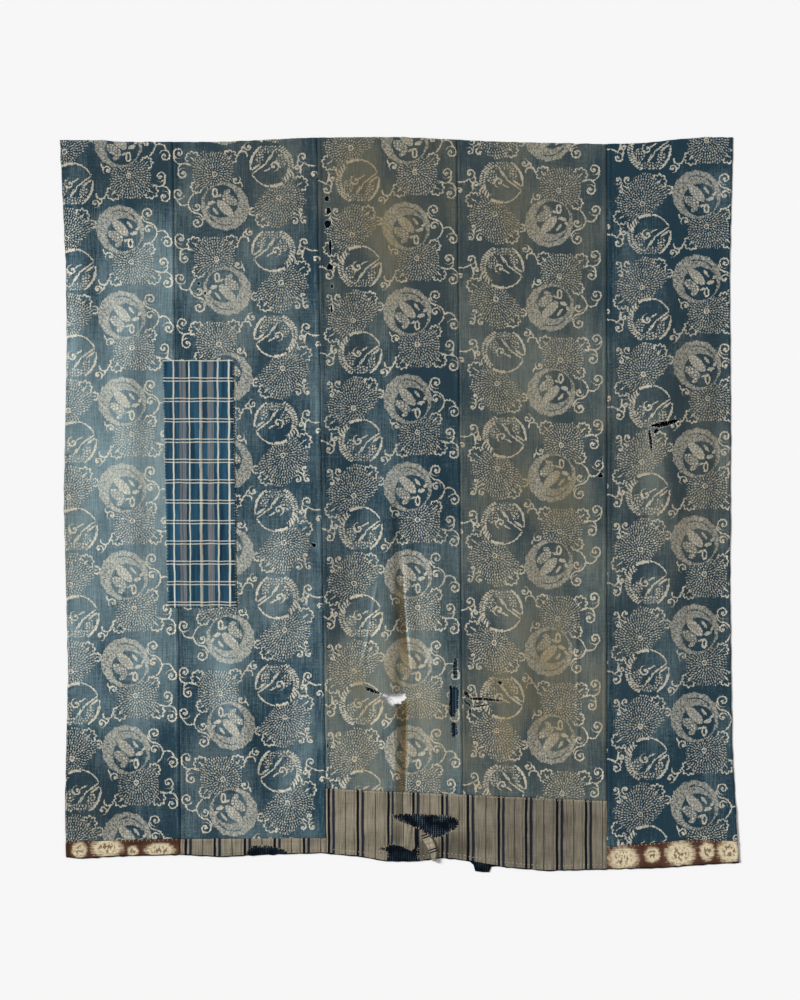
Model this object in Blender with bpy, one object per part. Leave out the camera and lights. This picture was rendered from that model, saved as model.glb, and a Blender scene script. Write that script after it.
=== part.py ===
"""Boro futon cover: five stencil-dyed indigo panels sewn edge to edge, mended and hemmed.

The cover lies face up. X runs across it, Y up its length and Z towards the eye. The origin is at the
middle of its outline, on the surface it rests on. Tables give places in millimetres.
"""

import math
from collections import namedtuple

import bmesh
import bpy

MM = 0.001

# Driving dimensions
CLOTH = 0.0016            # one layer of hand-woven cotton with its fluff
UNDERLAY = 0.0011         # a mending cloth or lining sewn behind
GAP = 0.0003              # between neighbouring pieces
RAISED = UNDERLAY + 0.0004
HEM_SET_BACK = 2.5        # how far the lining shows below the hem, mm

# Sampling of the sheets
PANEL_COLUMNS = 12
PANEL_ROWS = 26
BAND_COLUMNS = 12
BAND_ROWS = 3
HEM_ROWS = 1
EDGE_STEP = 24.0          # along the lining's free edge, mm

# Flat stretch kept round a cloth that lies under or over a panel, then its ramp, mm
REACH_X = 28.0
REACH_Y = 66.0
RAMP = 50.0

CUT_LOW = -0.01
CUT_HIGH = 0.05


# Edges and seams: place along the edge, then place across it
LEFT_EDGE = ((-811, -767), (-680, -769), (-381, -762), (10, -772), (367, -765), (539, -767), (838, -781))
SEAM_1_2 = ((-850, -502), (838, -521))
SEAM_2_3 = ((-850, -167), (843, -190))
SEAM_3_4 = ((-850, 147), (840, 132))
SEAM_4_5 = ((-850, 477), (840, 477))
RIGHT_EDGE = ((-824, 781), (-680, 772), (-553, 765), (-197, 760), (125, 762), (539, 759), (843, 767))
TOP_EDGE = (
    (-781, 838), (-684, 838), (-638, 834), (-408, 834), (-224, 843), (-86, 845), (6, 845),
    (236, 834), (466, 829), (558, 831), (650, 841), (715, 845.3), (767, 844),
)
BOTTOM_EDGE = (
    (-767, -811), (-735, -815), (-638, -809), (-500, -806), (-408, -811), (-316, -806), (-178, -802),
    (-86, -811), (-30, -821), (40, -821), (98, -813), (144, -818), (236, -834), (335, -843),
    (420, -841), (604, -836), (696, -829), (781, -824),
)
IKAT_LEFT_TOP = ((-770, -776), (-500, -768))
STRIPE_LEFT_TOP = ((-505, -769), (-165, -767))
BAND_TOP = ((-172, -653), (480, -682))
IKAT_RIGHT_TOP = ((477, -788), (652, -772), (782, -774))

# Folds: the crest's two ends, its bow sideways, the reach of each flank, its height, its end fade
Fold = namedtuple("Fold", "name x_top y_top x_low y_low bow left right height fade")
FOLDS = (
    Fold("roll of the left edge", -735, 800, -730, 210, 0, 38, 48, 5.0, 170),
    Fold("swell of panel 1", -604, 600, -602, -250, 6, 84, 38, 5.5, 190),
    Fold("foot of panel 1", -668, -270, -646, -700, 4, 50, 52, 4.0, 130),
    Fold("foot of panel 2", -402, -300, -330, -700, 8, 48, 42, 5.0, 110),
    Fold("slant fold of panel 2", -182, 230, -286, -330, 10, 62, 48, 6.0, 150),
    Fold("head of panel 3", 2, 790, -4, 130, 8, 62, 66, 3.5, 160),
    Fold("centre crease", -30, 70, -14, -640, -6, 58, 32, 7.5, 120),
    Fold("fold beside the centre", 64, 150, 90, -640, 10, 54, 62, 6.5, 160),
    Fold("slack of panel 4", 246, 110, 262, -640, 30, 70, 60, 5.5, 150),
    Fold("ridge by the fourth seam", 450, 430, 448, -660, 4, 48, 54, 4.5, 150),
    Fold("swell of panel 5", 596, 560, 584, -690, 22, 66, 76, 5.5, 180),
    Fold("hollow side of the right edge", 715, 700, 706, -420, -10, 44, 36, 3.5, 220),
)

# Tears and worn holes: centre, length, width, turn in degrees and corner count
Tear = namedtuple("Tear", "name cloth x y long wide turn corners")
TEARS = (
    Tear("worn_through", "panel_3", -12.7, -444.6, 55, 23, 2, 14),
    Tear("worn_through_drip", "panel_3", -18.2, -461, 22, 9, 92, 8),
    Tear("slit_beside_hole", "panel_3", -62, -427.8, 41, 8, -20, 8),
    Tear("burn_1", "panel_3", -167, 703, 8.5, 8, 0, 7),
    Tear("burn_2", "panel_3", -163, 675, 9.5, 9, 30, 7),
    Tear("burn_3", "panel_3", -165, 645, 14, 13, 60, 8),
    Tear("burn_4", "panel_3", -160, 596, 18, 4, 88, 6),
    Tear("burn_5", "panel_3", -160, 546, 13, 12, 20, 8),
    Tear("burn_6", "panel_3", -156, 450, 18, 4, 92, 6),
    Tear("slit_at_foot", "panel_3", -164.5, -555, 13, 4, 90, 6),
    Tear("seam_slit_upper", "panel_3", 129, -376, 46, 8, 91, 8),
    Tear("seam_slit_middle", "panel_3", 123, -453, 71, 22, 87, 12),
    Tear("seam_slit_lower", "panel_3", 125, -517.5, 36, 14, 92, 9),
    Tear("snag_1", "panel_2", -462, 508, 7.5, 6.5, 0, 6),
    Tear("snag_2", "panel_2", -464, 490, 7, 6, 40, 6),
    Tear("snag_3", "panel_2", -447, 486, 6.5, 6, 80, 6),
    Tear("snag_at_seam", "panel_2", -197, -93, 13, 8, -45, 7),
    Tear("cross_tear_upper", "panel_4", 158, -436, 26, 8, -38, 8),
    Tear("cross_tear_long", "panel_4", 200, -449, 74, 12, -4, 10),
    Tear("cross_tear_branch", "panel_4", 177, -466, 32, 8, 48, 8),
    Tear("moth_hole", "panel_4", 230.5, -409.4, 10, 9, 0, 7),
    Tear("pin_tear", "panel_4", 463.5, 102, 14, 3.5, 90, 6),
    Tear("pin_hole", "panel_4", 462, 67, 12, 11, 0, 8),
    Tear("corner_tear_across", "panel_5", 609.7, 186, 62, 9, 12, 10),
    Tear("corner_tear_down", "panel_5", 577.3, 147, 52, 4, 94, 8),
)

# Worn gaps of the hems, with the corners of each
WORN_GAPS = {
    "band_left": (
        ((-18, -714), (6, -711), (49, -712), (97, -714), (128, -720), (138, -727), (133, -744),
         (99, -762), (80, -767), (52, -751), (43, -744), (20, -737), (-13, -720)),
        ((-26, -783), (-8, -795), (13, -792), (29, -785), (47, -795), (50, -835), (-31, -835)),
    ),
    "hem_stripe_left": (
        ((-351, -799), (-339, -785), (-309, -783), (-279, -788), (-256, -799), (-252, -825),
         (-355, -825)),
    ),
}

# Cloths sewn behind tears: low X, high X, low Y, high Y
Underlay = namedtuple("Underlay", "name x_low x_high y_low y_high")
UNDERLAYS = (
    Underlay("backing_burns", -183, -138, 420, 728),
    Underlay("backing_snags", -482, -430, 466, 528),
    Underlay("backing_seam_snag", -222, -176, -118, -68),
    Underlay("backing_slit", -92, -47, -452, -404),
    Underlay("backing_seam_slits", 98, 258, -552, -338),
    Underlay("backing_foot_slit", -180, -148, -574, -536),
    Underlay("backing_pin_holes", 444, 476, 46, 124),
    Underlay("backing_corner_tear", 556, 656, 104, 216),
)

# The check-woven patch sewn on the face, over the first seam
CHECK_PATCH = ((-544, 331), (-382, 334), (-379, 60), (-375, -235), (-532, -237), (-538, 20))
CHECK_PATCH_BOUNDS = (-544, -375, -205, 302)     # the reach below adds the rest

# The dark lining behind the hem: its upper outline from right to left, and its torn tongue
LINING_UPPER = (
    (779, -797), (166, -797), (162, -690), (-48, -690), (-52, -779), (-765, -779),
)
LINING_TONGUE = ((170, -829), (174, -843), (190, -845.3), (206, -845.3), (211, -833))
LINING_RISES = ((-790, 790, -850, -779), (-48, 166, -850, -690))

# Torn-off bits of the band that lie on it
TORN_FLAP = (
    (-16, -722), (-2, -728), (30, -736), (39, -744), (36, -772), (28, -798), (6, -786), (-14, -762),
)
TORN_STRIP = (
    (52, -757), (78, -766), (84, -788), (88, -812), (83, -824), (74, -822), (66, -800), (50, -782),
)

# Colours of the cloths, linear
INDIGO = (0.042, 0.082, 0.118)
CHECK_BLUE = (0.022, 0.052, 0.085)
STRIPE_GREY = (0.150, 0.130, 0.100)
IKAT_BROWN = (0.080, 0.030, 0.020)
LINING_NAVY = (0.012, 0.020, 0.038)


def clear_scene():
    for item in list(bpy.data.objects):
        bpy.data.objects.remove(item, do_unlink=True)


def cotton(name, colour):
    material = bpy.data.materials.new(name)
    material.use_nodes = True
    shader = material.node_tree.nodes["Principled BSDF"]
    shader.inputs["Base Color"].default_value = (*colour, 1.0)
    shader.inputs["Roughness"].default_value = 0.9
    shader.inputs["Metallic"].default_value = 0.0
    return material


def soft_step(value):
    value = min(max(value, 0.0), 1.0)
    return value * value * (3.0 - 2.0 * value)


def follow(line, place):
    """Read an edge's table at a place along it, straight between its points."""
    for (start, low), (end, high) in zip(line, line[1:]):
        if place <= end:
            break
    return low + (high - low) * (place - start) / (end - start)


def inside(bounds, x, y):
    """One within the flat reach round a rectangle, falling to nought over the ramp."""
    x_low, x_high, y_low, y_high = bounds
    away_x = max(x_low - REACH_X - x, x - x_high - REACH_X, 0.0)
    away_y = max(y_low - REACH_Y - y, y - y_high - REACH_Y, 0.0)
    return 1.0 - soft_step(math.hypot(away_x, away_y) / RAMP)


def fold_height(fold, x, y):
    """Height that one soft fold gives the cloth, in mm."""
    if not fold.y_low < y < fold.y_top:
        return 0.0
    down = (fold.y_top - y) / (fold.y_top - fold.y_low)
    crest = fold.x_top + (fold.x_low - fold.x_top) * down + fold.bow * math.sin(math.pi * down)
    away = x - crest
    reach = -away / fold.left if away < 0.0 else away / fold.right
    if reach >= 1.0:
        return 0.0
    ends = soft_step((fold.y_top - y) / fold.fade) * soft_step((y - fold.y_low) / fold.fade)
    return fold.height * 0.5 * (1.0 + math.cos(math.pi * reach)) * ends


def rest_height(x, y):
    """Height of a panel's underside above the surface, in metres."""
    rises = [inside(bounds, x, y) for bounds in LINING_RISES]
    rises += [inside(item[1:], x, y) for item in UNDERLAYS]
    folds = sum(fold_height(fold, x, y) for fold in FOLDS)
    level = 1.0 - inside(CHECK_PATCH_BOUNDS, x, y)
    return RAISED * max(rises) + folds * level * MM


def show(name, mesh, material):
    item = bpy.data.objects.new(name, mesh)
    item.data.materials.append(material)
    bpy.context.scene.collection.objects.link(item)
    return item


def finish_mesh(name, shape):
    bmesh.ops.recalc_face_normals(shape, faces=shape.faces)
    mesh = bpy.data.meshes.new(name)
    shape.to_mesh(mesh)
    shape.free()
    return mesh


def thicken(shape, thick):
    """Raise a copy of the underside by the cloth's thickness and wall the rim."""
    raised = bmesh.ops.extrude_face_region(shape, geom=list(shape.faces))["geom"]
    corners = [part for part in raised if isinstance(part, bmesh.types.BMVert)]
    bmesh.ops.translate(shape, vec=(0, 0, thick), verts=corners)


def sheet(name, sides, ends, columns, rows, material):
    """A sewn sheet between two side edges and two end edges, lying on the folds."""
    left, right = sides
    bottom, top = ends
    inset = GAP / MM / 2
    shape = bmesh.new()
    bmesh.ops.create_grid(shape, x_segments=columns, y_segments=rows, size=0.5)
    for corner in shape.verts:
        across, up = corner.co.x + 0.5, corner.co.y + 0.5
        x, y = 0.0, 0.0
        for _ in range(3):
            x_low, x_high = left(y) + inset, right(y) - inset
            x = x_low + (x_high - x_low) * across
            y_low, y_high = bottom(x), top(x) - inset
            y = y_low + (y_high - y_low) * up
        corner.co = (x * MM, y * MM, rest_height(x, y))
    thicken(shape, CLOTH)
    bmesh.ops.triangulate(shape, faces=shape.faces)
    return show(name, finish_mesh(name, shape), material)


def flat_cloth(name, outline, low, thick, material):
    """A flat cloth cut to an outline."""
    shape = bmesh.new()
    shape.faces.new([shape.verts.new((x * MM, y * MM, low)) for x, y in outline])
    thicken(shape, thick)
    return show(name, finish_mesh(name, shape), material)


def ragged(tear):
    """The outline of a tear: a slim oval with uneven sides."""
    turn = math.radians(tear.turn)
    points = []
    for step in range(tear.corners):
        angle = 2.0 * math.pi * step / tear.corners
        rough = 1.0 + 0.10 * math.sin(3.0 * angle + tear.x) + 0.07 * math.cos(5.0 * angle + tear.y)
        along = 0.5 * tear.long * math.cos(angle) * rough
        across = 0.5 * tear.wide * math.sin(angle) * rough
        points.append((
            tear.x + along * math.cos(turn) - across * math.sin(turn),
            tear.y + along * math.sin(turn) + across * math.cos(turn),
        ))
    return points


def cut(cloth, name, outline, guide):
    """Cut one hole through a cloth."""
    cutter = flat_cloth("cutter_" + name, outline, CUT_LOW, CUT_HIGH - CUT_LOW, guide)
    cutter.hide_render = True
    cutter.display_type = "WIRE"
    hole = cloth.modifiers.new(name, "BOOLEAN")
    hole.object = cutter
    hole.operation = "DIFFERENCE"
    hole.solver = "EXACT"


def edge(line, shift=0.0):
    return lambda place: follow(line, place) + shift


def panels(dye):
    """The five stencil-dyed widths, each running from the top edge to the band or hem."""
    seams = (LEFT_EDGE, SEAM_1_2, SEAM_2_3, SEAM_3_4, SEAM_4_5, RIGHT_EDGE)
    feet = (IKAT_LEFT_TOP, STRIPE_LEFT_TOP, BAND_TOP, BAND_TOP, IKAT_RIGHT_TOP)
    made = {}
    for number, foot in enumerate(feet, start=1):
        name = f"panel_{number}"
        sides = (edge(seams[number - 1]), edge(seams[number]))
        ends = (edge(foot, GAP / MM), edge(TOP_EDGE))
        made[name] = sheet(name, sides, ends, PANEL_COLUMNS, PANEL_ROWS, dye)
    return made


def hems(stripe, ikat):
    """The striped band in two lengths and the three hem strips."""
    free = edge(BOTTOM_EDGE, HEM_SET_BACK)
    rows = (
        ("hem_ikat_left", LEFT_EDGE, SEAM_1_2, IKAT_LEFT_TOP, HEM_ROWS, ikat),
        ("hem_stripe_left", SEAM_1_2, SEAM_2_3, STRIPE_LEFT_TOP, HEM_ROWS, stripe),
        ("band_left", SEAM_2_3, SEAM_3_4, BAND_TOP, BAND_ROWS, stripe),
        ("band_right", SEAM_3_4, SEAM_4_5, BAND_TOP, BAND_ROWS, stripe),
        ("hem_ikat_right", SEAM_4_5, RIGHT_EDGE, IKAT_RIGHT_TOP, HEM_ROWS, ikat),
    )
    made = {}
    for name, left, right, top, count, cloth in rows:
        made[name] = sheet(name, (edge(left), edge(right)), (free, edge(top)), BAND_COLUMNS, count, cloth)
    return made


def lining(navy):
    """The dark lining that shows under the hem and through the band's tear."""
    first, last = BOTTOM_EDGE[0][0], BOTTOM_EDGE[-1][0]
    count = round((last - first) / EDGE_STEP)
    free = [first + (last - first) * step / count for step in range(count + 1)]
    before = [(x, follow(BOTTOM_EDGE, x)) for x in free if x < LINING_TONGUE[0][0] - 5]
    after = [(x, follow(BOTTOM_EDGE, x)) for x in free if x > LINING_TONGUE[-1][0] + 5]
    flat_cloth("lining_hem", before + list(LINING_TONGUE) + after + list(LINING_UPPER), 0.0, UNDERLAY, navy)


def backings(navy):
    """The scraps sewn behind the tears."""
    for item in UNDERLAYS:
        outline = (
            (item.x_low, item.y_low), (item.x_high, item.y_low),
            (item.x_high, item.y_high), (item.x_low, item.y_high),
        )
        flat_cloth(item.name, outline, 0.0, UNDERLAY, navy)


def main():
    clear_scene()
    dye = cotton("stencil_dyed_indigo_cotton", INDIGO)
    check = cotton("check_woven_indigo_cotton", CHECK_BLUE)
    stripe = cotton("striped_grey_cotton", STRIPE_GREY)
    ikat = cotton("ikat_brown_cotton", IKAT_BROWN)
    navy = cotton("navy_lining_cotton", LINING_NAVY)

    cloths = panels(dye)
    cloths.update(hems(stripe, ikat))
    for tear in TEARS:
        cut(cloths[tear.cloth], tear.name, ragged(tear), navy)
    for name, gaps in WORN_GAPS.items():
        for number, outline in enumerate(gaps, start=1):
            cut(cloths[name], f"{name}_gap_{number}", outline, navy)

    lining(navy)
    backings(navy)
    flat_cloth("patch_check", CHECK_PATCH, CLOTH + GAP, CLOTH, check)
    on_band = RAISED + CLOTH + GAP
    flat_cloth("torn_flap", TORN_FLAP, on_band, CLOTH, stripe)
    flat_cloth("torn_strip", TORN_STRIP, on_band, CLOTH, stripe)


main()
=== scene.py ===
import math
import random
from collections import namedtuple

import bmesh
import bpy
from mathutils import Euler, Matrix, Vector, kdtree, noise


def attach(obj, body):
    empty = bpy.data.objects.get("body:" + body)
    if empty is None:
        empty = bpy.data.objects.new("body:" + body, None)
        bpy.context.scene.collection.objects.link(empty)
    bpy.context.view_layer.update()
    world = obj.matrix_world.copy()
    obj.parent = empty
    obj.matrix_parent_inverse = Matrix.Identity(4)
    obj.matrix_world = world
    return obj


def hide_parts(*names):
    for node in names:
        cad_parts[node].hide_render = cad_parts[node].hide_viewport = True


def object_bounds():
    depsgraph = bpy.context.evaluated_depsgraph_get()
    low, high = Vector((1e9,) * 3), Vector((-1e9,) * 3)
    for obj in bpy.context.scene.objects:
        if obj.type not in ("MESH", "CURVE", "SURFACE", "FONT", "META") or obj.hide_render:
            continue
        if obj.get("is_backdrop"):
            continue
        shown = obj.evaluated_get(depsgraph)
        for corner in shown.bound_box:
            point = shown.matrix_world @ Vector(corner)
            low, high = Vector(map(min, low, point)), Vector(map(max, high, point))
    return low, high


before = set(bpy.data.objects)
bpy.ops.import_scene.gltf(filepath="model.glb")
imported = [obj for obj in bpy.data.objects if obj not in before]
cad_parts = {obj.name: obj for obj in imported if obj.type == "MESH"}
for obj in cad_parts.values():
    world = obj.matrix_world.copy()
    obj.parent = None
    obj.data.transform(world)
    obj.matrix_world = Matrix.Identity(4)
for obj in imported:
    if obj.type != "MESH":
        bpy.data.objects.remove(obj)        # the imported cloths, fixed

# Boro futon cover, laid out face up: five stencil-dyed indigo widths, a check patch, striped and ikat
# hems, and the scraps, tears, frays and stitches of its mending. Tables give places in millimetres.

bl_info = {
    "name": "Boro Futon Cover",
    "version": (1, 0, 0),
    "blender": (4, 5, 0),
    "location": "View3D > Sidebar > Boro Cover",
    "description": "Cloths, patterns, tears and stitches of a laid-out boro futon cover",
    "category": "Mesh",
}

MM = 0.001
CAD_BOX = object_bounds()
BODY = "root"

# The photograph's scale and the camera's place over it
MM_PER_PIXEL = 2.3
PHOTO_HEIGHT = 1000
PHOTO_MIDDLE = (399.5, 504.5)     # the pixel over the origin
LENS = 85.0
FILM = 36.0
AIM = (1.15, 10.35)

# The lamp's direction and the degrees that it spreads over, and how far the floor lies below the cover, mm
LAMP_FROM = (-0.80, 0.39, 0.455)
LAMP_SPREAD = 18.0
FLOOR_DROP = 0.4

# Layers of cloth over the surface, as the solids have them, mm
GAP = 0.3
UNDERLAY = 1.1
RAISED = UNDERLAY + 0.4
UNDERLAY_SHEET = UNDERLAY - 0.1
UNDERLAY_LIFT = 0.25     # the lining's and scraps' usual height, and how far it varies
STITCH_LIFT = 0.15       # middle of a stitch over its cloth
FRAY_LIFT = 0.2          # start of a loose thread over its cloth
HEM_SET_BACK = 2.5

# Sampling of the cloths: columns and rows, and how much closer the columns stand at the sides
PANEL_GRID = (80, 261, 0.55)
PATCH_GRID = (56, 190, 0.3)
HEM_COLUMNS = 90
HEM_CROWDING = 0.3
LINING_GRID = (300, 32)
LINING_STEPS = 130       # along the lining's free edge
SCRAP_STEP = 4.0         # between the columns and rows of a scrap behind a tear, mm
BIT_STEP = 2.4           # the same of a torn-off bit, mm
TEAR_STEP = 1.7          # longest edge beside a tear, mm
TEAR_REACHES = (7.0, 3.5)     # how far beside a tear each round halves the edges, mm
CREASE_ROUNDS = ((16.0, 2.6), (10.0, 2.0))     # the same at a sharp crease, with its longest edge, mm
DOT_STEP = 0.4           # between the places that a tear's edge is snapped to, mm
RIM_REACH = 2.2          # how far a tear's rim is worn pale, mm
RIM_WEAR = 1.1           # fading at its very edge
CREASE_SHADE_AND_DIRT_DARKENS = 0.38      # how much a line of painted crease shade and dirt takes off the fading
DEEPEST_STAIN = 2.2      # the most that a place is stained, the painted crease shade included
PALEST_FADE = 1.6        # the most that it is faded, painted fold light and crest highlights included

# Hand-sewn edges: how far they waver, over what length, mm, and where the wavering starts
SIDE_WAVER = (1.6, 26.0)
SIDE_WAVER_STEP = 3.7    # from one side or seam to the next
TOP_WAVER = (1.6, 21.0, 1.0)
FOOT_WAVER = (1.2, 24.0, 40.0)
FREE_WAVER = (1.6, 19.0, 60.0)
LINING_WAVER = (2.4, 15.0, 80.0)
PATCH_WAVERS = ((1.8, 30.0, 7.0), (1.8, 26.0, 9.0), (1.4, 22.0, 3.0), (1.4, 22.0, 5.0))
PATCH_ROLL = (11.0, 0.7)     # reach and height of the patch's turned edge, mm
FREE_ROLL = 0.5          # height of the roll along the foot of the cover, mm

# Flat stretch kept round a cloth that lies under or over a panel, then its ramp, mm
REACH_X = 28.0
REACH_Y = 66.0
RAMP = 50.0

# Edges and seams: place along the edge, then place across it
LEFT_EDGE = ((-811, -767), (-680, -769), (-381, -762), (10, -772), (367, -765), (539, -767), (838, -781))
SEAM_1_2 = ((-850, -502), (838, -521))
SEAM_2_3 = ((-850, -167), (843, -190))
SEAM_3_4 = ((-850, 147), (840, 132))
SEAM_4_5 = ((-850, 477), (840, 477))
RIGHT_EDGE = ((-824, 781), (-680, 772), (-553, 765), (-197, 760), (125, 762), (539, 759), (843, 767))
TOP_EDGE = (
    (-781, 838), (-684, 838), (-638, 834), (-408, 834), (-224, 843), (-86, 845), (6, 845),
    (236, 834), (466, 829), (558, 831), (650, 841), (715, 845.3), (767, 844),
)
BOTTOM_EDGE = (
    (-767, -811), (-735, -815), (-638, -809), (-500, -806), (-408, -811), (-316, -806), (-178, -802),
    (-86, -811), (-30, -821), (40, -821), (98, -813), (144, -818), (236, -834), (335, -843),
    (420, -841), (604, -836), (696, -829), (781, -824),
)
IKAT_LEFT_TOP = ((-770, -776), (-500, -768))
STRIPE_LEFT_TOP = ((-505, -769), (-165, -767))
BAND_TOP = ((-172, -653), (480, -682))
IKAT_RIGHT_TOP = ((477, -788), (652, -772), (782, -774))
SEAMS = (SEAM_1_2, SEAM_2_3, SEAM_3_4, SEAM_4_5)
SIDES = (LEFT_EDGE, *SEAMS, RIGHT_EDGE)
FEET = (IKAT_LEFT_TOP, STRIPE_LEFT_TOP, BAND_TOP, BAND_TOP, IKAT_RIGHT_TOP)

# Folds, as the solids have them: crest ends, bow sideways, reach of each flank, height, end fade
Fold = namedtuple("Fold", "name x_top y_top x_low y_low bow left right height fade")
FOLDS = (
    Fold("roll of the left edge", -735, 800, -730, 210, 0, 38, 48, 5.0, 170),
    Fold("swell of panel 1", -604, 600, -602, -250, 6, 84, 38, 5.5, 190),
    Fold("foot of panel 1", -668, -270, -646, -700, 4, 50, 52, 4.0, 130),
    Fold("foot of panel 2", -402, -300, -330, -700, 8, 48, 42, 5.0, 110),
    Fold("slant fold of panel 2", -182, 230, -286, -330, 10, 62, 48, 6.0, 150),
    Fold("head of panel 3", 2, 790, -4, 130, 8, 62, 66, 3.5, 160),
    Fold("centre crease", -30, 70, -14, -640, -6, 58, 32, 7.5, 120),
    Fold("fold beside the centre", 64, 150, 90, -640, 10, 54, 62, 6.5, 160),
    Fold("slack of panel 4", 246, 110, 262, -640, 30, 70, 60, 5.5, 150),
    Fold("ridge by the fourth seam", 450, 430, 448, -660, 4, 48, 54, 4.5, 150),
    Fold("swell of panel 5", 596, 560, 584, -690, 22, 66, 76, 5.5, 180),
    Fold("hollow side of the right edge", 715, 700, 706, -420, -10, 44, 36, 3.5, 220),
)

# Finer creases over them, ridges above nought and troughs below it
CREASES = (
    Fold("edge of the centre crease", -16, 60, -8, -810, 4, 14, 7, 1.3, 60),
    Fold("bottom of the centre crease", 6, 10, 14, -800, 6, 10, 16, -0.9, 60),
    Fold("crease of panel 4 low", 402, -230, 412, -430, 0, 8, 10, 0.9, 30),
    Fold("dark fold of panel 1", -676, 740, -690, 420, -4, 16, 18, -1.0, 60),
    Fold("fold at panel 2 foot", -205, -600, -270, -720, 0, 14, 12, 1.4, 40),
    Fold("upper fold at panel 2 foot", -170, -440, -330, -520, 0, 16, 12, 0.9, 20),
    Fold("long crease of panel 5", 548, -60, 520, -560, 12, 16, 13, 1.0, 90),
    Fold("short crease of panel 5", 660, -150, 634, -420, 0, 12, 14, 0.8, 60),
    Fold("head crease of panel 4", 268, 790, 284, 420, 6, 18, 12, 0.9, 90),
    Fold("head crease of panel 2", -330, 800, -344, 330, -6, 16, 20, 0.8, 120),
    Fold("slack of panel 4 edge", 196, 60, 208, -330, 5, 12, 12, 0.8, 80),
    Fold("foot crease of panel 1", -610, -420, -596, -760, 5, 12, 14, 0.9, 70),
)

# Creases too sharp for the panels' own grid, which is refined along them; the last figure names the panel
SHARP_CREASES = (
    Fold("upper wall of the centre crease, panel 3", 8, -66, 30, -400, -3, 4, 30, 3.4, 36),
    Fold("lower wall of the centre crease, panel 3", 20, -440, 14, -700, 0, 4, 28, 3.2, 18),
    Fold("slant crease, panel 3", -50, -165, -88, -390, 0, 10, 8, 1.6, 40),
    Fold("upright crease, panel 4", 404, -236, 408, -600, 2, 5, 9, 1.2, 40),
)
PATCH_CREASES = (
    Fold("long crease of the patch", -470, 210, -452, -80, 5, 4, 12, 1.2, 40),
    Fold("short crease of the patch", -430, 120, -446, -10, -3, 10, 4, 1.0, 30),
    Fold("foot crease of the patch", -500, -60, -488, -220, 3, 8, 6, 0.8, 30),
)
FLAP_CREASES = (
    Fold("facet of the flap", 14, -724, 8, -800, 3, 5, 14, 2.6, 12),
    Fold("second facet of the flap", 28, -730, 24, -796, -2, 8, 4, 1.8, 14),
)
STRIP_CREASES = (
    Fold("twist of the strip", 70, -756, 82, -826, 6, 9, 7, 2.4, 10),
)

# Tears and worn holes: centre, length, width, turn in degrees, corner count, and below 1 how boxy they are
Tear = namedtuple("Tear", "name cloth x y long wide turn corners square", defaults=(1.0,))
TEARS = (
    Tear("worn_through", "panel_3", -12.7, -444.6, 55, 24, 2, 26, 0.75),
    Tear("worn_through_drip", "panel_3", -17.5, -461, 28, 12, 94, 12),
    Tear("slit_beside_hole", "panel_3", -62, -427.8, 41, 8, -20, 16),
    Tear("burn_1", "panel_3", -167, 703, 12.5, 10.5, 90, 12),
    Tear("burn_2", "panel_3", -163, 675, 15.5, 10.5, 88, 12),
    Tear("burn_3", "panel_3", -165, 645, 17.5, 15.5, 80, 14),
    Tear("burn_4", "panel_3", -159, 592, 36, 6, 92, 16),
    Tear("burn_5", "panel_3", -160, 546, 15, 14, 20, 14),
    Tear("burn_6", "panel_3", -156, 450, 20, 4.5, 92, 10),
    Tear("burn_7", "panel_3", -155, 502, 10, 5.5, 92, 9),
    Tear("slit_at_foot", "panel_3", -164.5, -555, 13, 4, 90, 10),
    Tear("seam_slit_upper", "panel_3", 128.5, -378, 48, 10, 91, 18, 0.8),
    Tear("seam_slit_middle", "panel_3", 124.5, -450, 70, 22, 87, 24, 0.45),
    Tear("seam_slit_lower", "panel_3", 126, -517.5, 36, 14, 94, 18, 0.65),
    Tear("snag_1", "panel_2", -462, 508, 7.5, 6.5, 0, 10),
    Tear("snag_2", "panel_2", -464, 490, 7, 6, 40, 10),
    Tear("snag_3", "panel_2", -447, 486, 6.5, 6, 80, 10),
    Tear("snag_at_seam", "panel_2", -197, -93, 13, 8, -45, 10),
    Tear("cross_tear_upper", "panel_4", 154.5, -437, 20, 9, -58, 14),
    Tear("cross_tear_long", "panel_4", 197, -448, 80, 7, -4, 22),
    Tear("cross_tear_branch", "panel_4", 156, -457, 24, 5, -42, 14),
    Tear("cross_tear_tail", "panel_4", 162.5, -478, 22, 5, 92, 12),
    Tear("cross_tear_lower", "panel_4", 186, -463, 44, 3.5, 9, 14),
    Tear("moth_hole", "panel_4", 230.5, -409.4, 10, 9, 0, 12),
    Tear("pin_tear", "panel_4", 463.5, 102, 14, 3.5, 90, 10),
    Tear("pin_hole", "panel_4", 462, 67, 12, 11, 0, 12),
    Tear("corner_tear_across", "panel_5", 609.7, 186, 65, 12, 12, 20),
    Tear("corner_tear_flap", "panel_5", 590, 169, 15, 9, 48, 10),
    Tear("corner_tear_down", "panel_5", 577, 147, 58, 6.5, 97, 16),
)

# Worn gaps of the hems, with the corners of each
WORN_GAPS = {
    "band_left": (
        ((-18, -714), (6, -711), (49, -712), (97, -714), (128, -720), (138, -727), (133, -744),
         (99, -762), (80, -767), (52, -751), (43, -744), (20, -737), (-13, -720)),
        ((-48.4, -792.5), (-37.8, -787.1), (-28.4, -787.8), (-21.4, -777.7), (4.4, -783.6), (39.6, -783.6),
         (46.7, -786), (39.6, -797.7), (44.3, -809.4), (39.6, -820), (39.6, -836), (-28.4, -836),
         (-28.4, -797.7), (-37.8, -795.3)),
    ),
    "hem_stripe_left": (
        ((-351, -799), (-339, -785), (-309, -783), (-279, -788), (-256, -799), (-252, -825),
         (-355, -825)),
    ),
}

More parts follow.
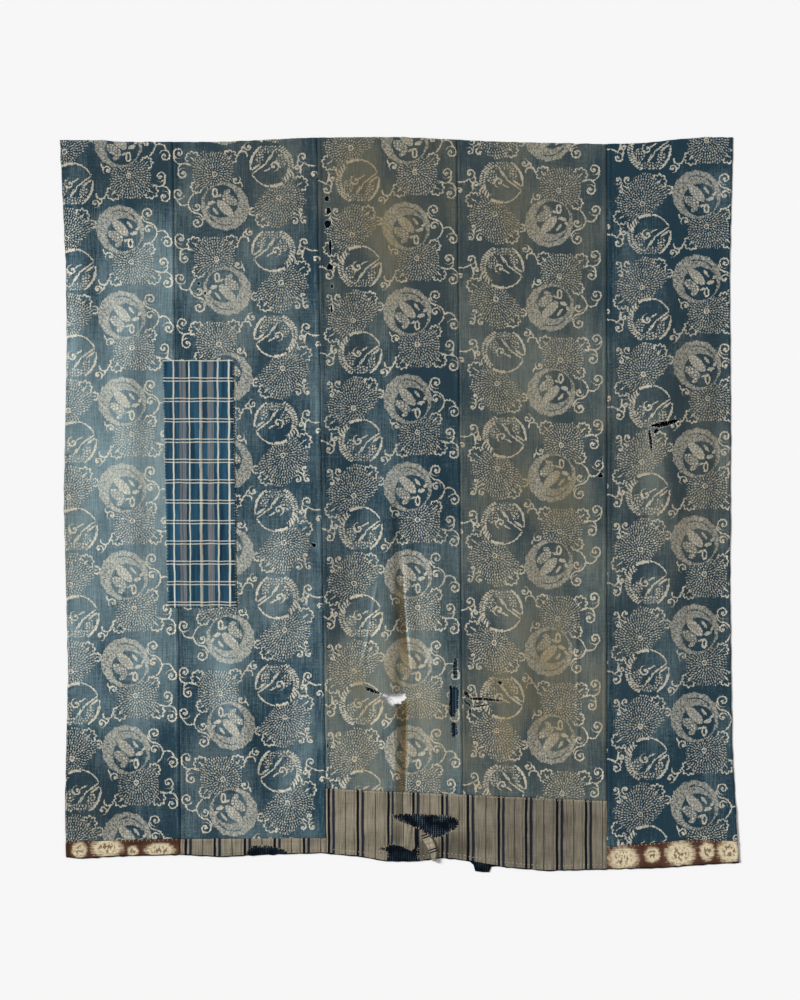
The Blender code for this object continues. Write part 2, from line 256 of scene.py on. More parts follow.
# Cloths sewn behind tears: low X, high X, low Y, high Y
Underlay = namedtuple("Underlay", "name x_low x_high y_low y_high")
UNDERLAYS = (
    Underlay("backing_burns", -183, -138, 420, 728),
    Underlay("backing_snags", -482, -430, 466, 528),
    Underlay("backing_seam_snag", -222, -176, -118, -68),
    Underlay("backing_slit", -92, -47, -452, -404),
    Underlay("backing_seam_slits", 98, 258, -552, -338),
    Underlay("backing_foot_slit", -180, -148, -574, -536),
    Underlay("backing_pin_holes", 444, 476, 46, 124),
    Underlay("backing_corner_tear", 556, 656, 104, 216),
)
LINING_RISES = ((-790, 790, -850, -779), (-48, 166, -850, -690))
CHECK_PATCH_BOUNDS = (-544, -375, -205, 302)

# Stains and fading of the panels, in the photograph's pixels: centre, reach across and up, strength. The
# narrow upright ovals among the fades are painted shade and painted light along the folds
STAINS = {
    1: ((150, 175, 60, 40, 0.20), (84, 820, 40, 60, 0.20), (70, 520, 14, 60, 0.45),
        (150, 470, 30, 200, 0.15)),
    2: ((250, 330, 60, 50, 0.25), (260, 180, 90, 80, 0.45), (250, 590, 60, 40, 0.20),
        (215, 790, 40, 60, 0.20)),
    3: ((395, 205, 110, 125, 1.0), (385, 705, 110, 105, 0.95), (430, 600, 30, 70, 0.15)),
    4: ((520, 230, 120, 140, 0.75), (540, 480, 110, 110, 0.85), (520, 710, 130, 115, 1.15)),
    5: ((670, 480, 160, 130, 0.55), (625, 640, 16, 60, 0.20)),
}
FADES_AND_FOLD_SHADING = {
    1: ((120, 470, 400, 190, 0.66), (80, 430, 26, 260, 0.18), (120, 170, 200, 60, -0.42),
        (104, 560, 8, 220, -0.22), (152, 470, 30, 250, 0.26), (92, 240, 9, 120, -0.20),
        (138, 760, 12, 90, 0.16), (110, 800, 120, 70, -0.48)),
    2: ((250, 470, 2000, 2000, -0.05), (235, 335, 70, 40, 0.20), (275, 470, 40, 60, -0.15),
        (250, 620, 70, 60, 0.20), (250, 160, 200, 80, -0.18), (300, 300, 10, 160, -0.16),
        (262, 720, 12, 110, -0.18), (222, 700, 14, 110, 0.14), (306, 620, 8, 150, 0.16)),
    3: ((390, 470, 2000, 2000, -0.30), (390, 710, 150, 120, 0.76), (345, 230, 40, 110, 0.12),
        (336, 600, 12, 120, -0.40), (430, 600, 24, 90, 0.15), (435, 420, 30, 110, -0.15),
        (375, 400, 12, 170, 0.14), (352, 420, 10, 150, -0.12), (420, 300, 12, 130, 0.14),
        (366, 740, 14, 60, -0.20), (440, 745, 14, 60, -0.15)),
    4: ((530, 470, 2000, 2000, -0.14), (520, 230, 200, 120, -0.14), (540, 690, 90, 130, 0.22),
        (565, 540, 20, 260, -0.12), (500, 420, 22, 200, -0.10), (535, 350, 16, 160, 0.12)),
    5: ((670, 470, 2000, 2000, -0.44), (680, 480, 160, 110, 0.16), (615, 560, 14, 230, 0.20),
        (726, 420, 16, 300, 0.14), (650, 500, 14, 200, 0.16), (690, 420, 12, 240, -0.12),
        (640, 740, 10, 100, -0.16), (668, 740, 12, 110, 0.14)),
}

# Painted shade, brown and mixed with real dirt, beside the walls of the sharp creases, and pale lines along
# their crests that are partly wear and partly a painted highlight; a height is a strength
CREASE_SHADE_AND_DIRT_LINES = {
    3: (
        Fold("painted shade and dirt at the upper wall", 6, -100, 29, -440, -5, 32, 2, 1.7, 190),
        Fold("painted shade and dirt at the lower wall", 21, -440, 12, -690, 0, 36, 2, 1.5, 30),
    ),
}
CREST_WEAR_AND_HIGHLIGHT_LINES = {
    3: (
        Fold("crest of the upper wall", 11, -150, 30, -400, -3, 3, 3, 0.6, 60),
        Fold("crest of the lower wall", 20, -440, 14, -690, 0, 3, 3, 1.3, 14),
        Fold("crest of the slant crease", -50, -165, -88, -380, 0, 5, 4, 0.6, 50),
    ),
}

# How each panel was cut from the stencilled length: a line of the cloth where the repeat starts, the sign
# across, the height of a tortoise, the repeat up the cloth as it lies, and its sign
Cut = namedtuple("Cut", "start across tortoise_y repeat up")
CUTS = {
    1: Cut(((-850, -830.9), (838, -849.9)), 1, 633.7, 199.8, 1),
    2: Cut(((-850, -173.0), (843, -196.0)), -1, 686.6, 199.1, -1),
    3: Cut(((-850, -184.1), (843, -191.2)), 1, 647.5, 201.9, 1),
    4: Cut(((-850, 147.0), (840, 132.0)), 1, 647.5, 197.4, -1),
    5: Cut(((-850, 472.7), (840, 472.7)), 1, 718.8, 201.5, 1),
}

# How washing and wear pulled each panel's pattern out of line: height, pull to the right and pull up
PULLS = {
    1: ((-850, 0, -1), (-261, 0, -2), (61, 2, -4), (383, -2, -2), (544, -2, 0), (705, 2, 2), (850, 2, 2)),
    2: ((-850, 0, 0), (-583, 2, 0), (-422, 6, 2), (-261, 2, 0), (61, 2, -3), (383, -2, -5), (544, 0, -2),
        (705, 2, 2), (850, 2, 3)),
    3: ((-850, 0, 0), (383, -2, 1), (544, -2, 4.6), (705, 2, 9), (850, 2, 9)),
    4: ((-850, 0, 5), (-583, 0, 4.6), (-422, 4.6, 0), (-261, 6, -2), (-100, 2, -4.6), (61, -6, -7),
        (383, -6, -4.6), (544, -4.6, 0), (850, -4.6, 0)),
    5: ((-850, 0, 0), (-261, 0, -2), (-100, 0, -4.6), (61, -2, -4.6), (222, -8, -4.6), (383, -5, -4.6),
        (544, -5, -2), (705, -5, 7), (850, -5, 7)),
}

# Check patch: its side edges, and a warp line of its cloth
PATCH_LEFT = ((-238, -532), (20, -538), (335, -544))
PATCH_RIGHT = ((-238, -375), (60, -379), (335, -382))
PATCH_WARP = ((-240, -533.2), (331, -536.9))
PATCH_WEFT = 287.3       # height of the middle of one pair of its weft lines
PATCH_BOTTOM = ((-560, -237), (-360, -235))
PATCH_TOP = ((-560, 331), (-360, 334))

# Where the strong line of each stripe repeat crosses a striped piece, mm
STRIPE_LINES = {
    "band_left": (-162.4, -95.9, -25.1, 31.7, 98.7, 165.0),
    "band_right": (157.6, 228.9, 291.0, 362.3, 429.0, 495.0),
    "hem_stripe_left": (-491.0, -424.4, -355.4, -286.4, -219.7, -153.0),
}
STRIPE_REPEAT = 66.3

# Soft darker and lighter places of the striped cloth's tone, and on its torn bits painted shade and painted
# light on the flap's facets and a paler strip: centre, reach across and up, tone
BAND_SHADES = (
    (122, -788, 42, 36, 0.50), (56, -792, 22, 32, 0.45), (330, -750, 190, 110, 0.72),
    (-120, -740, 60, 60, 1.10),
)
TORN_SHADES = ((-6, -758, 15, 36, 0.52), (30, -765, 14, 40, 1.15), (66, -785, 18, 26, 1.30))

# Cream figures of the ikat strips: centre, reach across and up, mm
IKAT_FIGURES = (
    (-736, -795, 16, 17), (-673, -790, 34, 20), (-613, -797, 12, 11), (-551, -795, 32, 16),
    (514, -813, 33, 25), (581, -805, 17, 17), (645, -803, 32, 28), (707, -797, 16, 20),
    (758, -797, 25, 25),
)

# Torn-off bits of the band that lie on it
TORN_FLAP = (
    (-14.3, -718.4), (4.4, -730.1), (27.9, -737.1), (39.2, -746.1), (40.1, -786.0), (27.9, -795.8),
    (15.0, -791.1), (7.9, -786.0), (-9.7, -782.4), (-19.5, -776.6), (-17.6, -722.6),
)
TORN_STRIP = (
    (46.7, -757.8), (58.4, -755.0), (70.2, -762.5), (79.5, -774.2), (85.4, -790.7), (88.5, -800.0),
    (83.1, -809.4), (84.2, -820.0), (76.0, -820.0), (71.3, -804.7), (64.3, -788.3), (56.1, -774.2),
)

# The lining's upper outline from right to left, its lowest and highest place, and its torn tongue
LINING_UPPER = (
    (779, -797), (166, -797), (162, -690), (-48, -690), (-52, -779), (-765, -779),
)
LINING_SPAN = (-846.0, -690.0)
LINING_TONGUE = ((170, -829), (174, -843), (190, -845.3), (206, -845.3), (211, -833))

# Rows of stitches: piece, thread, then runs of edge table, upright or not, start, end, distance aside, pitch,
# turn in degrees, and how many more cloths lie under the stitch
STITCHES = (
    ("patch_stitches", "undyed", (
        (PATCH_LEFT, True, -232, 328, 1.5, 7.5, 12, 1.3), (PATCH_RIGHT, True, -230, 328, -1.5, 7.5, -10, 1.3),
        (PATCH_TOP, False, -536, -384, -1.8, 8.0, 80, 1.3),
        (PATCH_BOTTOM, False, -530, -380, 1.8, 8.0, 96, 1.3),
    )),
    ("edge_stitches", "undyed", (
        (LEFT_EDGE, True, -760, 90, 3.0, 11.0, 8, 0.2), (BAND_TOP, False, -168, 476, -2.6, 8.5, 78, 0.6),
        (BOTTOM_EDGE, False, -150, 470, 12.0, 9.5, 4, 0.3),
        (IKAT_LEFT_TOP, False, -766, -506, -2.0, 9.5, 84, 0.5),
        (IKAT_RIGHT_TOP, False, 482, 776, -2.0, 9.5, 84, 0.5),
    )),
    ("seam_stitches", "indigo", (
        (SEAM_1_2, True, -760, 830, 9.5, 8.5, 90, 0.0), (SEAM_2_3, True, -640, 838, 9.5, 8.5, 90, 0.0),
        (SEAM_3_4, True, -650, 836, -9.5, 8.5, 90, 0.0), (SEAM_4_5, True, -660, 834, 9.5, 8.5, 90, 0.0),
        (BOTTOM_EDGE, False, -760, -170, 8.0, 9.0, 4, 0.3), (BOTTOM_EDGE, False, 480, 776, 8.0, 9.0, 4, 0.3),
    )),
)
FRAY_PITCH = 2.2         # between the loose threads along a torn edge, mm
SLIT_PITCH = 2.6         # how much farther apart they stand along a narrow tear
HEM_CLEAR = 3.5          # no stitch or loose thread starts closer to the foot, mm
TOP_CLEAR = 2.0          # nor closer to the top, mm

REPEAT = 198.0           # height of the stencil's repeat, mm
STAIN_ON_FIGURE = (0.54, 0.46, 0.34)     # how a stain multiplies the figure's linear colour
MATH = "ShaderNodeMath"
VECTOR = "ShaderNodeVectorMath"
TURN = "ShaderNodeVectorRotate"
NOISE = "ShaderNodeTexNoise"
FLAT = {"noise_dimensions": "2D"}
MIX = "ShaderNodeMix"
DYES = {"data_type": "RGBA"}
RANGE = "ShaderNodeMapRange"
SPLIT = "ShaderNodeSeparateXYZ"
TAU = 2.0 * math.pi
FAR = 9000.0             # wider than any cloth, so that the repeat wraps up the cloth alone, mm


# Colours and sizes that a user would change

def linear(code):
    """An sRGB hex colour as linear red, green and blue."""
    parts = [int(code[start:start + 2], 16) / 255 for start in (1, 3, 5)]
    return [part / 12.92 if part <= 0.04045 else ((part + 0.055) / 1.055) ** 2.4 for part in parts]


def colour(name, code, description):
    """A colour that a user may change."""
    return bpy.props.FloatVectorProperty(
        name=name, description=description, default=linear(code), size=3, subtype="COLOR", min=0.0, max=1.0)


def length(name, millimetres, description):
    """A length that a user may change, given in mm."""
    return bpy.props.FloatProperty(
        name=name, description=description, default=millimetres * MM, unit="LENGTH", min=0.0, precision=5)


class DyedPanelSettings(bpy.types.PropertyGroup):
    """Sizes and colours of the stencil-dyed panels."""
    sheet: length("Cloth thickness", 1.2, "Thickness of one cloth with its fluff")
    ridge: length("Seam ridge", 0.9, "Height of the allowance folded beside a seam")
    ridge_reach: length("Seam allowance", 11.0, "Width of the allowance on each side of a seam")
    slack: length("Slack", 0.5, "Height of the cloth's small unevenness")
    indigo: colour("Indigo", "#25414F", "Ground of the cloth where the dye is deep")
    worn_indigo: colour("Worn indigo", "#859CA1", "Ground where washing has thinned the dye")
    paste: colour("Reserved figure", "#E4DDCA", "Cotton that the rice paste kept from the dye")
    worn_paste: colour("Worn figure", "#A1A397", "The figure where dye and dirt have dulled it")
    dirt: colour("Dirt", "#3F3626", "Brown of the deepest stains")
    # This brown also paints the shade beside the crease walls, where the stain passes one
    stain: colour("Stain", "#6C6752", "Tint of the brown stains")


class PatchworkSettings(bpy.types.PropertyGroup):
    """Colours of the patch, the band, the hems and the lining."""
    check_blue: colour("Check blue", "#2B566E", "Ground of the check patch")
    check_cream: colour("Check cream", "#D7D6C7", "Cream yarns of the check")
    check_grey: colour("Check grey", "#77797A", "Grey yarns of the check")
    stripe_ground: colour("Stripe ground", "#7B7465", "Warm grey ground of the striped cloth")
    stripe_navy: colour("Stripe navy", "#080B12", "Solid navy lines of the striped cloth")
    stripe_blue: colour("Stripe blue", "#1B2438", "Loose blue lines beside them")
    ikat_brown: colour("Ikat brown", "#412A1F", "Ground of the ikat strips")
    ikat_cream: colour("Ikat cream", "#D4C6A5", "Figures of the ikat strips")
    navy: colour("Lining navy", "#060D14", "Lining and mending cloths")
    backing_blue: colour("Backing blue", "#1B2937", "Cloth behind the slits of the third seam")
    backing_olive: colour("Backing olive", "#252115", "Cloth behind the cross tear")
    navy_grid: colour("Lining line", "#53697C", "Fine pale lines woven in the lining")


class StitchSettings(bpy.types.PropertyGroup):
    """Sizes and colours of the stitches and frays."""
    stitch: length("Stitch", 4.2, "Length of one stitch")
    thread: length("Thread", 0.8, "Thickness of the sewing thread")
    fray: length("Fray", 7.0, "Usual length of a loose thread at a tear")
    undyed: colour("Undyed thread", "#D8CFB6", "Undyed cotton thread")
    dyed: colour("Dyed thread", "#16222E", "Indigo cotton thread")
    madder: colour("Madder thread", "#B5613A", "A few orange-red yarns at the band's tear")


class StageSettings(bpy.types.PropertyGroup):
    """Floor and light."""
    floor: bpy.props.FloatProperty(
        name="Floor", description="Side of the floor", default=14.0, unit="LENGTH", min=2.0)
    floor_colour: colour("Floor colour", "#F0F0F0", "Pale floor")
    lamp: bpy.props.FloatProperty(
        name="Lamp", description="Strength of the soft lamp", default=4.6, min=0.0)
    fill: bpy.props.FloatProperty(
        name="Fill", description="Strength of the light from all round", default=0.40, min=0.0)


# Nodes

def add(tree, kind, *feeds, values=None, **settings):
    """Add a node, set its properties and sockets, and link what feeds it."""
    node = tree.nodes.new(kind)
    for name, value in settings.items():
        setattr(node, name, value)
    sockets = [socket for socket in node.inputs if socket.enabled]
    pairs = [(socket, feed) for socket, feed in zip(sockets, feeds) if feed is not None]
    pairs += [(node.inputs[name], feed) for name, feed in (values or {}).items()]
    for socket, feed in pairs:
        if isinstance(feed, bpy.types.Node):
            feed = next(output for output in feed.outputs if output.enabled)
        if isinstance(feed, bpy.types.NodeSocket):
            tree.links.new(feed, socket)
        elif socket.type == "RGBA" and len(feed) == 3:
            socket.default_value = (*feed, 1.0)
        else:
            socket.default_value = feed
    return node


class Sketch:
    """Draws the stencil's motifs round their places in the repeat; the strongest mark at a point shows."""

    def __init__(self, tree, place):
        self.tree = tree
        self.place = place
        self.shown = None
        self.deep = None
        cells = add(
            tree, "ShaderNodeTexVoronoi", place, values={"Scale": 1.0 / 6.4, "Randomness": 0.8},
            feature="DISTANCE_TO_EDGE", voronoi_dimensions="2D")
        self.cells = add(tree, MATH, cells.outputs["Distance"], 0.21, operation="GREATER_THAN")

    def meet(self, parts):
        """A mark that is there where all of its parts are."""
        mark = parts[0]
        for part in parts[1:]:
            mark = add(self.tree, MATH, mark, part, operation="MULTIPLY")
        return mark

    def draw(self, *parts, strength=1.0):
        """Add a mark that is there where all of its parts are."""
        mark = self.meet(parts)
        if strength != 1.0:
            mark = add(self.tree, MATH, mark, strength, operation="MULTIPLY")
        if self.shown is not None:
            mark = add(self.tree, MATH, self.shown, mark, operation="MAXIMUM")
        self.shown = mark

    def deepen(self, area):
        """Note an area whose ground took the dye deepest."""
        self.deep = area if self.deep is None else add(self.tree, MATH, self.deep, area, operation="MAXIMUM")

    def clear(self, *parts):
        """Leave the ground bare where a later motif lies."""
        bare = add(self.tree, MATH, 1.0, self.meet(parts), operation="SUBTRACT")
        self.shown = add(self.tree, MATH, self.shown, bare, operation="MULTIPLY")

    def spot(self, x, y, turn=0.0, within=None):
        """Coordinates round a motif, turned to its axis; within is the motif that it belongs to."""
        tree, half = self.tree, REPEAT / 2
        spot = add(tree, VECTOR, within or self.place, (x, y, 0.0), operation="SUBTRACT")
        if within is None:
            spot = add(tree, VECTOR, spot, (FAR, half, 1.0), (-FAR, -half, -1.0), operation="WRAP")
        if turn:
            back = -math.radians(turn)
            spot = add(tree, TURN, spot, (0.0, 0.0, 0.0), back, rotation_type="Z_AXIS")
        return spot

    def polar(self, spot):
        """Distance from a motif's middle and the angle round it."""
        away = add(self.tree, VECTOR, spot, operation="LENGTH")
        parts = add(self.tree, SPLIT, spot)
        angle = add(self.tree, MATH, parts.outputs["Y"], parts.outputs["X"], operation="ARCTAN2")
        return away, angle

    def oval(self, spot, long, wide):
        """One within an oval round a motif's middle, nought outside."""
        scaled = add(self.tree, VECTOR, spot, (1.0 / long, 1.0 / wide, 0.0), operation="MULTIPLY")
        away = add(self.tree, VECTOR, scaled, operation="LENGTH")
        return add(self.tree, MATH, away, 1.0, operation="LESS_THAN")

    def ovals(self, within, rows):
        """A motif's ovals with their strengths, from rows of place, turn, length, width and strength."""
        for x, y, turn, long, wide, strength in rows:
            yield self.oval(self.spot(x, y, turn, within), long, wide), strength

    def stem(self, x_start, y_start, x_end, y_end, bend, width=3.1):
        """A stem between two points that bows to its left by a share of its length."""
        tree = self.tree
        start, end = Vector((x_start, y_start)), Vector((x_end, y_end))
        chord = end - start
        rise = abs(bend) * chord.length
        radius = (chord.length ** 2 / 4 + rise ** 2) / (2 * rise)
        side = Vector((-chord.y, chord.x)).normalized() * math.copysign(1.0, bend)
        middle = (start + end) / 2 + side * (rise - radius)
        spot = self.spot(middle.x, middle.y)
        away = add(tree, VECTOR, spot, operation="LENGTH")
        line = add(tree, MATH, away, radius, width / 2, operation="COMPARE")
        facing = add(tree, VECTOR, spot, (side.x, side.y, 0.0), operation="DOT_PRODUCT")
        self.draw(line, add(tree, MATH, facing, radius - rise, operation="GREATER_THAN"))

    def curl(self, x, y, radius, opening, hand, pitch=9.4, width=3.2, within=None):
        """A tendril that comes in at an angle and winds to its middle, leftwards if hand is 1."""
        tree = self.tree
        away, angle = self.polar(self.spot(x, y, opening - 180.0, within))
        arms = add(tree, MATH, angle, hand / TAU, -radius / pitch, operation="MULTIPLY_ADD")
        arms = add(tree, MATH, away, 1.0 / pitch, arms, operation="MULTIPLY_ADD")
        arms = add(tree, MATH, arms, operation="FRACT")
        line = add(tree, MATH, arms, 0.5, width / pitch / 2, operation="COMPARE")
        self.draw(line, add(tree, MATH, away, radius + width / 3, operation="LESS_THAN"))
        self.draw(add(tree, MATH, away, 2.4, operation="LESS_THAN"))

    def bloom(self, x, y, turn, long, wide, eye):
        """A many-petalled chrysanthemum of short comma strokes in staggered rings round a ringed eye."""
        tree = self.tree
        spot = self.spot(x, y)
        centre = add(tree, VECTOR, spot, (*eye, 0.0), operation="SUBTRACT")
        away, angle = self.polar(centre)

        # Rings 6.6 mm apart, each with seven petals more than the one inside it and set off against it
        rings = add(tree, MATH, away, 1.0 / 6.6, operation="MULTIPLY")
        ring = add(tree, MATH, rings, operation="FLOOR")
        along = add(tree, MATH, rings, ring, operation="SUBTRACT")
        count = add(tree, MATH, ring, 7.0, 4.0, operation="MULTIPLY_ADD")
        step = add(tree, MATH, ring, ring, operation="MULTIPLY")
        slant = add(tree, MATH, along, 0.6, step, operation="MULTIPLY_ADD")
        slant = add(tree, MATH, slant, 0.31, operation="MULTIPLY")
        share = add(tree, MATH, angle, 1.0 / TAU, operation="MULTIPLY")
        petals = add(tree, MATH, share, count, slant, operation="MULTIPLY_ADD")
        petals = add(tree, MATH, petals, operation="FRACT")
        half = add(tree, MATH, along, 0.11, 0.14, operation="MULTIPLY_ADD")
        petals = add(tree, MATH, petals, 0.5, half, operation="COMPARE")
        stroke = add(tree, MATH, along, 0.5, 0.36, operation="COMPARE")

        # The flower's outline is between an oval and a box, with seventeen small teeth
        teeth = add(tree, MATH, angle, 17.0, operation="MULTIPLY")
        teeth = add(tree, MATH, teeth, operation="COSINE")
        limit = add(tree, MATH, teeth, 0.06, 1.0, operation="MULTIPLY_ADD")
        scaled = self.spot(0, 0, turn, spot)
        scaled = add(tree, VECTOR, scaled, (1.0 / long, 1.0 / wide, 0.0), operation="MULTIPLY")
        scaled = add(tree, VECTOR, scaled, scaled, operation="MULTIPLY")
        rim = add(tree, VECTOR, scaled, operation="LENGTH")
        flower = add(tree, MATH, rim, limit, operation="LESS_THAN")

        # The petals stop short of the eye, a ring round a dot
        petals_start = add(tree, MATH, away, 8.6, operation="GREATER_THAN")
        self.deepen(flower)
        self.draw(petals, stroke, flower, petals_start, strength=0.78)
        self.draw(add(tree, MATH, away, 5.0, 1.4, operation="COMPARE"))
        self.draw(add(tree, MATH, away, 1.5, operation="LESS_THAN"))

    def leaf(self, x, y, turn, size):
        """A leaf at a bloom's corner: a chain of bold lobes open towards the bloom, with a short vein."""
        tree = self.tree
        spot = self.spot(x, y, turn)
        away, angle = self.polar(spot)
        wave = add(tree, MATH, angle, 4.5, operation="MULTIPLY")
        wave = add(tree, MATH, wave, operation="COSINE")
        wave = add(tree, MATH, wave, operation="ABSOLUTE")
        rim = add(tree, MATH, wave, size * 0.26, size * 0.76, operation="MULTIPLY_ADD")
        leaf = add(tree, MATH, away, rim, operation="LESS_THAN")
        self.clear(leaf, add(tree, MATH, angle, 0.0, 1.5, operation="COMPARE"))
        line = add(tree, MATH, away, rim, 1.75, operation="COMPARE")
        self.draw(line, add(tree, MATH, angle, 0.0, 1.95, operation="COMPARE"))
        self.draw(self.oval(spot, size * 0.45, 1.3))

    def feathers(self, away, angle, radius, width, count, middle, reach):
        """A rim of short slanting feather strokes."""
        tree = self.tree
        lean = add(tree, MATH, away, 0.07, operation="MULTIPLY")
        steps = add(tree, MATH, angle, count / TAU, lean, operation="MULTIPLY_ADD")
        steps = add(tree, MATH, steps, operation="FRACT")
        self.draw(
            add(tree, MATH, steps, 0.5, 0.29, operation="COMPARE"),
            add(tree, MATH, away, radius, width / 2, operation="COMPARE"),
            add(tree, MATH, angle, middle, reach, operation="COMPARE"),
        )

    def arc(self, away, angle, radius, width, middle, reach):
        """A brushed arc round a motif's middle."""
        self.draw(
            add(self.tree, MATH, away, radius, width / 2, operation="COMPARE"),
            add(self.tree, MATH, angle, middle, reach, operation="COMPARE"),
        )

    def scales(self, area, strength):
        """Small round scales over an area."""
        self.draw(self.cells, area, strength=strength)


# The crane's rim: radius and width of each arc or row of feathers, how many feathers would go all round,
# the angle at its middle and its reach on each side, in radians
CRANE_ARCS = (
    (49.5, 3.0, 0.95, 0.50), (47.8, 6.0, 1.80, 0.32), (49.4, 3.2, -0.45, 0.66), (48.2, 5.4, -0.50, 0.42),
)
CRANE_FEATHERS = ((47.6, 6.4, 50, 0.50, 0.72), (39.8, 5.6, 44, 0.34, 0.72), (44.5, 12.5, 36, -0.58, 0.34))

# Parts of the crane and of the tortoise round their middles: place, turn, length, width, strength
CRANE_SCALES = ((-24, -14, 62, 21, 13, 0.85), (27, -19, 70, 15, 9.5, 0.95), (3, -36, 0, 24, 9, 0.80))
CRANE_STROKES = (
    (28, 7, 36, 22, 1.9, 0.95), (36, 4, 36, 12, 2.4, 0.95), (10, 10, 29, 9, 1.8, 0.95),
    (8, -14, 60, 12, 1.6, 0.95), (1, -20, 60, 11, 1.6, 0.95),
)
TORTOISE_PARTS = (
    (-11, -16.5, -36, 20, 10.5, 0.24), (-6, -34.6, 20, 8, 5, 0.3), (0, 4, -46, 25, 11, 0.46),
    (22, 11, -52, 10, 3.0, 0.8), (31, -9, 18, 9, 4.4, 0.85), (40, 1.5, 50, 5, 3.4, 0.85),
    (13, -25, 28, 6, 2.2, 0.85),
)


def crane(sketch, x, y):
    """A crane curled in a ring: brushed and feathered rim, hooked neck, scaled breast and long legs."""
    tree = sketch.tree
    spot = sketch.spot(x, y)
    away, angle = sketch.polar(spot)
    sketch.clear(add(tree, MATH, away, 51.5, operation="LESS_THAN"))
    for row in CRANE_ARCS:
        sketch.arc(away, angle, *row)
    away, angle = sketch.polar(sketch.spot(0, 0, -180, spot))
    for row in CRANE_FEATHERS:
        sketch.feathers(away, angle, *row)
    for part, strength in sketch.ovals(spot, CRANE_SCALES):
        sketch.scales(part, strength)
    sketch.curl(-5, 2, 11.0, 175, 1, pitch=10.5, width=3.4, within=spot)
    for part, strength in sketch.ovals(spot, CRANE_STROKES):
        sketch.draw(part, strength=strength)


def tortoise(sketch, x, y):
    """A long-tailed tortoise curled in its own streaming tail, with shell, skirt, head and foot."""
    tree = sketch.tree
    spot = sketch.spot(x, y)
    away, angle = sketch.polar(spot)
    fringe = add(tree, MATH, angle, 13.0, operation="MULTIPLY")
    fringe = add(tree, MATH, fringe, operation="SINE")
    rim = add(tree, MATH, fringe, 0.9, 55.5, operation="MULTIPLY_ADD")
    body = add(tree, MATH, away, rim, operation="LESS_THAN")
    sketch.clear(body)

    # Long hair streams round the shell's hollow, which lies off the middle
    hollow = add(tree, VECTOR, spot, (8.0, -12.0, 0.0), operation="SUBTRACT")
    hollow = add(tree, VECTOR, hollow, operation="LENGTH")
    tail = add(tree, MATH, hollow, 38.5, operation="GREATER_THAN")
    lean = add(tree, MATH, away, 0.05, operation="MULTIPLY")
    around = add(tree, MATH, angle, 6.5, lean, operation="MULTIPLY_ADD")
    hair = add(tree, "ShaderNodeCombineXYZ", around, lean)
    hair = add(tree, NOISE, hair, values={"Scale": 2.6, "Detail": 2.0, "Roughness": 0.65}, **FLAT)
    hair = add(tree, RANGE, hair, 0.44, 0.53, 0.14, 0.72)
    sketch.draw(body, tail, hair)

    # A thin bare line between two locks, then the parts of the body
    gap = add(tree, MATH, away, 43.0, 1.3, operation="COMPARE")
    sketch.clear(gap, add(tree, MATH, angle, 1.25, 0.65, operation="COMPARE"))
    for part, strength in sketch.ovals(spot, TORTOISE_PARTS):
        sketch.draw(part, strength=strength)
        if strength < 0.8:
            sketch.scales(part, 0.98)
    foot = sketch.spot(22.5, -32, 90, spot)
    sketch.draw(sketch.oval(foot, 11.8, 6.4))
    sketch.clear(sketch.oval(foot, 7.4, 3.0))


# The vine's tendrils: centre, radius, the angle that each comes in at, and the hand that it winds
CURLS = (
    (271, 37, 13.0, 200, -1), (271, 0, 9.5, 85, 1), (312, -30, 13.0, 75, -1),
    (301, -76, 12.0, -35, 1), (310, -123.5, 12.5, 20, -1), (0, -73.6, 8.5, 200, 1),
    (29.5, 9, 7.5, 60, -1), (24, 33, 8.5, -40, 1), (47, 34, 8.5, 220, -1),
    (25.3, -113.9, 11.0, 30, -1), (38, -88, 9.5, 165, 1), (150, -138, 9.5, -10, 1),
    (179, -62, 9.5, 150, -1),
)

# Its stems: start, end, and the bow to the left as a share of the length
STEMS = (
    (256, 32, 268, 16, -0.16), (268, 16, 290, -6, 0.20), (290, -6, 315.5, -17, 0.30),
    (290, -6, 276, -29, 0.12), (311, -83, 303, -98, 0.20), (303, -98, 288, -95, 0.15),
    (303, -98, 322, -119, 0.24), (33, 17, 35, 27, 0.15), (37, 22, 51, 16, -0.12),
    (-4, -96, 22, -101, 0.14), (35, -108, 29, -88, -0.24), (22, -101, 29, -76, -0.20),
    (160, -139, 165, -127, -0.20), (165, -127, 173, -117, -0.30), (165, -127, 154, -115, 0.34),
    (171, -57, 166, -46, 0.22),
)

# The leaves at the blooms' corners: centre, the angle that they point to, size
LEAVES = (
    (119, 30, 45, 17.0), (32, -53, 212, 17.5), (269, -46, 42, 14.5), (278, -110, -40, 17.0),
    (193, -114, 226, 16.5), (142, 12, 5, 9.0), (55, -70, 255, 9.5),
)


